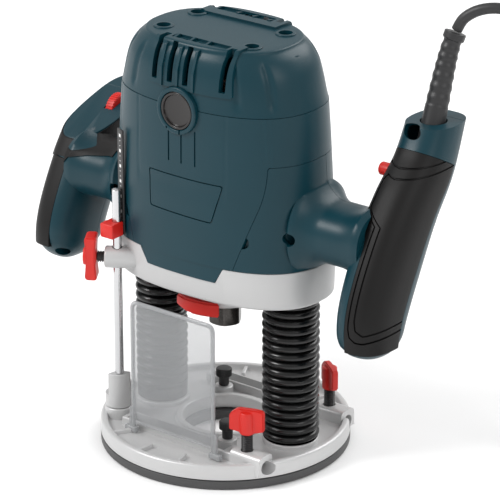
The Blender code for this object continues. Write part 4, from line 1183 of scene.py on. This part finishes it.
def grip_edge(side, gap=0.0):
    """Where the soft grip lies on the front shell, seen from the front."""
    if side > 0:
        corners = [(0.1180, 0.085), (0.150, 0.085), (0.150, 0.250), (0.095, 0.250)]
        corners += [(0.095, 0.1870, 0), (0.1125, 0.1785, 0.004), (0.1180, 0.1650, 0.004)]
    else:
        corners = [(0.1180, 0.085), (0.150, 0.085), (0.150, 0.250), (0.1180, 0.250)]
    corners = [(x - gap if x < 0.14 else x, *rest) for x, *rest in corners]
    return [(side * x, z) for x, z in rounded(corners, 0.0, 6)]


def top_cutter(side, depth=0.0):
    """What is taken off the handle's top: level on the right, sloping to the front on the left."""
    if side > 0:
        return block((0.09, -0.02, 0.2265 - depth), (0.15, 0.12, 0.300))
    at = (-0.12, 0.031, 0.1905 - depth)
    slope = Matrix.Rotation(math.radians(18), 4, "X")
    return block((-0.16, -0.05, at[2]), (-0.09, 0.12, at[2] + 0.08), 0.0, slope, at)


def handle_room(side):
    """The hollow inside a handle and its arm."""
    room = mesh_from("room", handle(side, SHELL_WALL, FOOT[side] + 0.025, 0.98, 24, True, 40))
    cut(room, top_cutter(side, SHELL_WALL))
    return join(room, arm(side, SHELL_WALL, 0.050, 0.112, 10, 40))


def screw_hole(side, x, y, z, way, radius, depth):
    """A round sunk hole for a screw, from outside the shell along way."""
    at = Vector((side * x, y, z))
    way = Vector((side * way[0], way[1], way[2])).normalized()
    return rod(at - way * 0.012, at + way * depth, radius, 0.0004, sides=40)


def groove(side, path):
    """A cutter that draws a shallow line along a path, seen from the front, into a grip's skin."""
    near, far = [], []
    for i, point in enumerate(path):
        way = (Vector(path[min(i + 1, len(path) - 1)]) - Vector(path[max(i - 1, 0)])).normalized()
        across = Vector((-way.y, way.x)) * 0.00055
        near.append(Vector(point) + across)
        far.append(Vector(point) - across)
    outline = [(side * x, z) for x, z in near + far[::-1]]
    line = mesh_from("groove", slab(outline, -0.10, 0.12, "Y"))
    return cut(line, handle(side, 0.0009, 0.02, 0.98, 60, True, 96))


SHELLS = {}
for side, name, grip_top in ((1, "right", 0.70), (-1, "left", 0.585)):
    whole = mesh_from("whole", body(BODY_SECTIONS, 0.0, 360, 16, creased))
    keep_in(whole, slab(saddle(side), -0.060, 0.060, "Y"))
    form = mesh_from("form", handle(side, start=FOOT[side]))
    cut(form, top_cutter(side))
    join(whole, form, arm(side, 0.0, 0.060, 0.116))
    core = ((0.110, 0.0762, 0.0466), *BODY_SECTIONS, (0.260, 0.066, 0.044))
    cut(whole, body(core, SHELL_WALL - GAP, 120, 3))
    cut(whole, block((side * 0.0300, -0.06, 0.10), (side * 0.0766, 0.06, HOUSING_LOW + GAP)))
    cut(whole, handle_room(side))
    for half in ("front", "rear"):
        shell = mesh_from(f"handle_{name}_{half}_shell", bmesh.new())
        old = shell.data
        shell.data = whole.data.copy()
        bpy.data.meshes.remove(old)
        if half == "front":
            low = FOOT[side] + GRIP_LOW - 0.002
            seat = mesh_from("seat", handle(side, -0.001, low, grip_top + 0.002, 40, False))
            cut(seat, handle(side, GRIP_SKIN + GAP, FOOT[side] + 0.010, 0.99))
            keep_in(seat, slab(grip_edge(side, GAP), -0.10, 0.12, "Y"))
            cut(seat, top_cutter(side, 0.010 - GAP))
            cut(shell, seat)
            keep_in(shell, front_space(side))
        else:
            cut(shell, front_space(side, GAP))
        SHELLS[name, half] = shell
    used = whole.data
    bpy.data.objects.remove(whole)
    bpy.data.meshes.remove(used)
    grip = mesh_from(f"grip_{name}_soft", handle(side, 0.0, FOOT[side] + GRIP_LOW, grip_top, 110, False, 120))
    cut(grip, handle(side, GRIP_SKIN, FOOT[side] + 0.010, 0.99), top_cutter(side, 0.010))
    keep_in(grip, slab(grip_edge(side), -0.10, 0.12, "Y"), front_space(side))
    top = 0.2105 if side > 0 else 0.1950
    bottom = 0.1050 if side > 0 else 0.1150
    for inset, upper, drop, rise in GROOVES:
        low_x = 0.1180 + inset
        high_x = upper if side > 0 else low_x
        low = bottom + rise
        high = top - drop
        path = [(0.1420, low + 0.0030), (0.1300, low), (low_x + 0.0050, low + 0.0004)]
        path += [(low_x + 0.0012, low + 0.0030), (low_x, low + 0.0085), (low_x, 0.1755)]
        path += [(high_x, 0.1835), (high_x, high - 0.0030), (high_x + 0.0022, high), (0.1200, high - 0.0008)]
        path += [(0.1300, high), (0.1420, high + 0.0014)]
        cut(grip, groove(side, path))
    SHELLS[name, "grip"] = grip

for x, y, z in ((0.0455, -0.0440, 0.1565), (0.0700, -0.0300, 0.1600)):
    for side in (1, -1):
        name = "right" if side > 0 else "left"
        cut(SHELLS[name, "front"], screw_hole(side, x, y, z, (-0.15, 1, 0), 0.0042, 0.0140))


def in_handle(shape, u=0.42, side=1):
    """Turns a shape square to the handle at u: X across, Y to the rear, Z along the handle."""
    middle, along, _, _ = handle_frame(u)
    turn = Matrix.Rotation(-math.atan2(along[0], along[1]), 4, "X")
    shape.transform(Matrix.Translation((side * HANDLE_X, *middle)) @ turn)
    return shape


cut(SHELLS["right", "rear"], in_handle(block((-0.0068, 0.0060, -0.0190), (0.0068, 0.0400, 0.0190), 0.0008)))
button_at = Vector((0.1005, 0.0262, 0.1985))
button_way = rod(button_at - Vector((0.005, 0, 0)), button_at + Vector((0.016, 0, 0)), 0.0046)
cut(SHELLS["right", "front"], button_way.copy())
cut(SHELLS["right", "grip"], button_way)
dial_at = Vector((-0.1175, 0.0368, 0.1860))
for half in ("front", "rear"):
    cut(SHELLS["left", half], rod(dial_at - Vector((0.0036, 0, 0)), dial_at + Vector((0.0036, 0, 0)), 0.0112))
sleeve_start = Vector(RELIEF_ROUTE[0])
sleeve_way = (Vector(RELIEF_ROUTE[1]) - sleeve_start).normalized()
for half in ("front", "rear"):
    way_out = rod(sleeve_start - sleeve_way * 0.001, sleeve_start + sleeve_way * 0.030, 0.0084)
    cut(SHELLS["right", half], way_out)
oval_hole = mesh_from("oval_hole", rod((0, 0, -0.012), (0, 0, 0.012), 0.0050, 0.0004))
middle, along, _, _ = handle_frame(0.80)
lean = Matrix.Rotation(math.radians(60), 4, "X") @ Matrix.Rotation(math.radians(-20), 4, "Z")
wide = Matrix.Diagonal((1.45, 1.0, 1.0, 1.0))
move(oval_hole, Matrix.Translation((0.1175, middle[0] - 0.0165, middle[1] + 0.003)) @ lean @ wide)
cut(SHELLS["right", "front"], oval_hole)
for side, name in ((1, "right"), (-1, "left")):
    middle, along, _, depth = handle_frame(FOOT[side] + 0.045)
    mouth = (side * 0.1130, middle[0] - 0.030, middle[1] - 0.004)
    bottom = (side * 0.1130, middle[0] - 0.006, middle[1] + 0.003)
    cut(SHELLS[name, "front"], rod(mouth, bottom, 0.0040, 0.0004))

GRIP_BLACK = (0.0050, 0.0045, 0.0045)
soft_black = finish_of("soft_grip_black", GRIP_BLACK, 0.50, cloud=0.10, grain=2300.0, relief=0.30)
soft_black.node_tree.nodes["Principled BSDF"].inputs["Specular IOR Level"].default_value = 0.25
for name in ("right", "left"):
    for half in ("front", "rear"):
        put(SHELLS[name, half], "head", teal, "teal_plastic", f"handle_{name}_{half}")
    put(SHELLS[name, "grip"], "head", soft_black, "black_rubber", f"grip_{name}")

band = mesh_from("grip_left_band_soft", handle(-1, -0.0007, 0.35, 0.80, 60, False, 120))
join(band, arm(-1, -0.0007, 0.078, 0.116))
cut(band, handle(-1, -0.0001, FOOT[-1], 1.0), arm(-1, -0.0001, 0.050, 0.118))
band_outline = [(-0.0800, 0.1760), (-0.1000, 0.1730), (-0.1130, 0.1700), (-0.1175, 0.1640), (-0.1400, 0.1600)]
band_outline += [(-0.1400, 0.1850), (-0.1200, 0.1850), (-0.1080, 0.1905), (-0.0800, 0.2010)]
keep_in(band, slab(band_outline, -0.06, 0.10, "Y"), front_space(-1))
cut(band, top_cutter(-1, 0.0008))
put(band, "head", soft_black, "black_rubber")

# ---- Switch, lock-on button and speed dial ----
# The trigger sits behind the right handle, its red lock-on button inside it, and a red ribbed dial
# in the left handle sets the motor's speed.

lever = block((-0.0063, 0.0140, -0.0184), (0.0063, 0.0305, 0.0184), 0.0022, segments=5)
trigger = mesh_from("trigger_lever", in_handle(lever))
put(trigger, "trigger", moulded_black, "black_plastic", "switch_trigger")
button = mesh_from("lock_button_red", rod(button_at, button_at + Vector((0.0120, 0, 0)), 0.0042, 0.0010))
put(button, "lock_button", signal_red, "red_plastic", "lock_on_button")
wheel = mesh_from("wheel", rod((0, 0, -0.0030), (0, 0, 0.0030), 0.0100, 0.0006, sides=72))
tooth = mesh_from("tooth", block((-0.0006, -0.00045, -0.0027), (0.00045, 0.00045, 0.0027), 0.0001))
teeth = repeat_round("dial_teeth", tooth, 34, 0.0100, signal_red)
dial = gather("speed_dial_red", wheel, teeth)
move(dial, Matrix.Translation(dial_at) @ Matrix.Rotation(math.radians(90), 4, "Y"))
put(dial, "dial", signal_red, "red_plastic", "speed_dial")

# ---- Depth stop ----
# A bright steel rod that lands on the turret. A red cursor reads it against a black scale with
# white marks let into the housing, and a red wing screw on the bracket clamps it.

x, y = STOP_ROD
rod_profile = rounded([(0.0, 0.0438), (0.0028, 0.0438, 0.0006), (0.0028, 0.1690, 0.0004), (0.0, 0.1690)], 0.0)
stop_rod = lathe("stop_rod_steel", rod_profile, (x, y, 0), 48)
put(stop_rod, "stop_rod", bright_steel, "bright_steel", "depth_rod")


def scale_box(half_width, front, back, low, high, edge=0.0):
    """An upright box where the scale lies on the housing, square to the surface there."""
    outward = Vector((-0.40, -0.9165, 0))
    strip = block((-half_width, -front, low), (half_width, back, high), edge)
    tilt = Matrix.Rotation(math.atan2(outward.x, -outward.y), 4, "Z")
    strip.transform(Matrix.Translation(Vector((-0.0511, -0.0377, 0)) + outward * 0.0012) @ tilt)
    return strip


scale = mesh_from("scale_black", scale_box(0.0035, 0.0005, 0.0005, 0.1390, 0.2080, 0.0001))
put(scale, "head", moulded_black, "black_plastic", "scale_strip")
white_print = finish_of("white_print", (0.80, 0.80, 0.78), 0.5, cloud=0.02)
marks = []
for level in range(7):
    z = 0.1440 + 0.0100 * level
    marks.append(mesh_from("mark", scale_box(0.0011, 0.00056, -0.0002, z - 0.0010, z + 0.0010)))
    for fine in (0.0033, 0.0066):
        tick = scale_box(0.0006, 0.00056, -0.0002, z + fine - 0.00018, z + fine + 0.00018)
        if z + fine < 0.206:
            marks.append(mesh_from("mark", tick))
put(gather("scale_marks", *marks), "head", white_print, "black_plastic")

cursor_block = block((x - 0.0062, y - 0.0092, 0.1385), (x + 0.0040, y + 0.0042, 0.1478), 0.0009)
cursor = mesh_from("cursor_red", cursor_block)
join(cursor, block((x - 0.0060, y - 0.0060, 0.1470), (x - 0.0042, y - 0.0030, 0.1480), 0.0004))
cut(cursor, rod((x, y, 0.13), (x, y, 0.16), 0.0031), scale_box(0.0120, 0.0009, 0.0080, 0.13, 0.16))
put(cursor, "cursor", signal_red, "red_plastic", "depth_cursor")

thread_end = stop_at + STOP_SCREW_WAY * 0.0128
thread_bar = rod(stop_at + STOP_SCREW_WAY * 0.0034, thread_end, 0.0029, 0.0003, sides=32)
thread = mesh_from("depth_screw_thread", thread_bar)
for step in range(3):
    at = stop_at + STOP_SCREW_WAY * (0.0088 + 0.0014 * step)
    join(thread, rod(at, at + STOP_SCREW_WAY * 0.0007, 0.0036, 0.0002, sides=32))
put(thread, "stop_screw", moulded_black, "black_plastic")
hub = rod(stop_at + STOP_SCREW_WAY * 0.0130, stop_at + STOP_SCREW_WAY * 0.0215, 0.0056, 0.0009)
wing = mesh_from("depth_wing_screw", hub)
bar = [(0.0125, -0.0145, 0.002), (0.0205, -0.0145, 0.003), (0.0190, 0.0, 0.010)]
bar += [(0.0205, 0.0145, 0.003), (0.0125, 0.0145, 0.002), (0.0138, 0.0, 0.010)]
leaf = slab(rounded(bar, 0.0), -0.0062, 0.0062, "Y")
soften(leaf, 1.2, 0.0009, 2)
facing = math.atan2(STOP_SCREW_WAY.y, STOP_SCREW_WAY.x)
leaf.transform(Matrix.Translation(stop_at) @ Matrix.Rotation(facing, 4, "Z"))
join(wing, leaf)
put(wing, "stop_screw", signal_red, "red_plastic", "depth_screw")

# ---- Collet nut, spindle lock and plunge lock ----
# A hexagonal steel nut on the spindle, a red leaf at the neck's front that pins the spindle, and a
# red lever at the bracket's rear that clamps the left column.

NUT_COLOUR = (0.075, 0.070, 0.066)
nut_black = finish_of("nut_black", NUT_COLOUR, 0.28, cloud=0.12, grain=1800.0, relief=0.1, metal=0.85)
nut = mesh_from("hex_nut", rod((0, 0, 0.0800), (0, 0, 0.0970), 0.019 / math.sqrt(3), sides=6))
keep_in(nut, rod((0, 0, 0.0800), (0, 0, 0.0970), 0.01090, 0.0014, sides=72))
cut(nut, rod((0, 0, 0.0824), (0, 0, 0.1000), 0.0080), rod((0, 0, 0.0700), (0, 0, 0.0850), 0.0056))
put(nut, "nut", nut_black, "steel", "collet_nut")

leaf_points = []
for step in range(25):
    turn = math.radians(-113 + 56 * step / 24)
    leaf_points.append((0.0350 * math.cos(turn), 0.0350 * math.sin(turn)))
leaf_points += [(0.0165, -0.0286), (-0.0125, -0.0286)]
pad = slab(leaf_points, 0.0962, 0.1056)
soften(pad, 1.0, 0.0011, 3)
pad = mesh_from("spindle_lock_leaf", pad)
tilt = Matrix.Rotation(math.radians(14), 4, "Y")
cut(pad, block((-0.050, -0.050, 0.080), (0.0, -0.020, 0.0950), 0.0, tilt, (0.0060, 0, 0.0962)))
join(pad, rod((0.003, -0.031, 0.1010), (0.003, -0.0134, 0.1010), 0.0024, 0.0003, sides=32))
put(pad, "lock_pad", signal_red, "red_plastic", "spindle_lock")

x, z = LEVER_AT
lever = mesh_from("plunge_lever_red", rod((x, 0.0468, z), (x, 0.0560, z), 0.0085, 0.0012))
paddle = [(x, z + 0.0065), (x - 0.040, z + 0.0010), (x - 0.040, z - 0.0080), (x, z - 0.0070)]
paddle = slab(rounded(paddle, 0.0022), 0.0500, 0.0560, "Y")
soften(paddle, 1.2, 0.0009, 2)
join(lever, paddle, rod((x, 0.0130, z), (x, 0.0480, z), 0.0035, 0.0003, sides=32))
put(lever, "plunge_lever", signal_red, "red_plastic", "plunge_lock_lever")

# ---- Parts inside ----
# The motor, its bearings and fan, the bushes, the collet and the switch keep their CAD shapes,
# in their own metals and plastics. The sole's three steel screws do too.

bronze = finish_of("bushing_bronze", (0.42, 0.27, 0.12), 0.38, metal=1.0)
copper = finish_of("commutator_copper", (0.60, 0.28, 0.15), 0.34, metal=1.0)
laminations = finish_of("motor_laminations", (0.11, 0.11, 0.115), 0.52, grain=2600.0, metal=0.6)
INSIDE = {
    "guide_bush_left": bronze,
    "guide_bush_right": bronze,
    "stator": laminations,
    "armature_core": laminations,
    "carbon_brush_front": laminations,
    "carbon_brush_rear": laminations,
    "commutator": copper,
    "bearing_lower": plain_steel,
    "bearing_upper": plain_steel,
    "spindle": plain_steel,
    "collet": spring_wire,
    "cooling_fan": moulded_black,
    "switch_module": moulded_black,
    "sole_screw_1": plain_steel,
    "sole_screw_2": plain_steel,
    "sole_screw_3": plain_steel,
}
for name, material in INSIDE.items():
    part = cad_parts[name]
    part.data.materials.clear()
    part.data.materials.append(material)
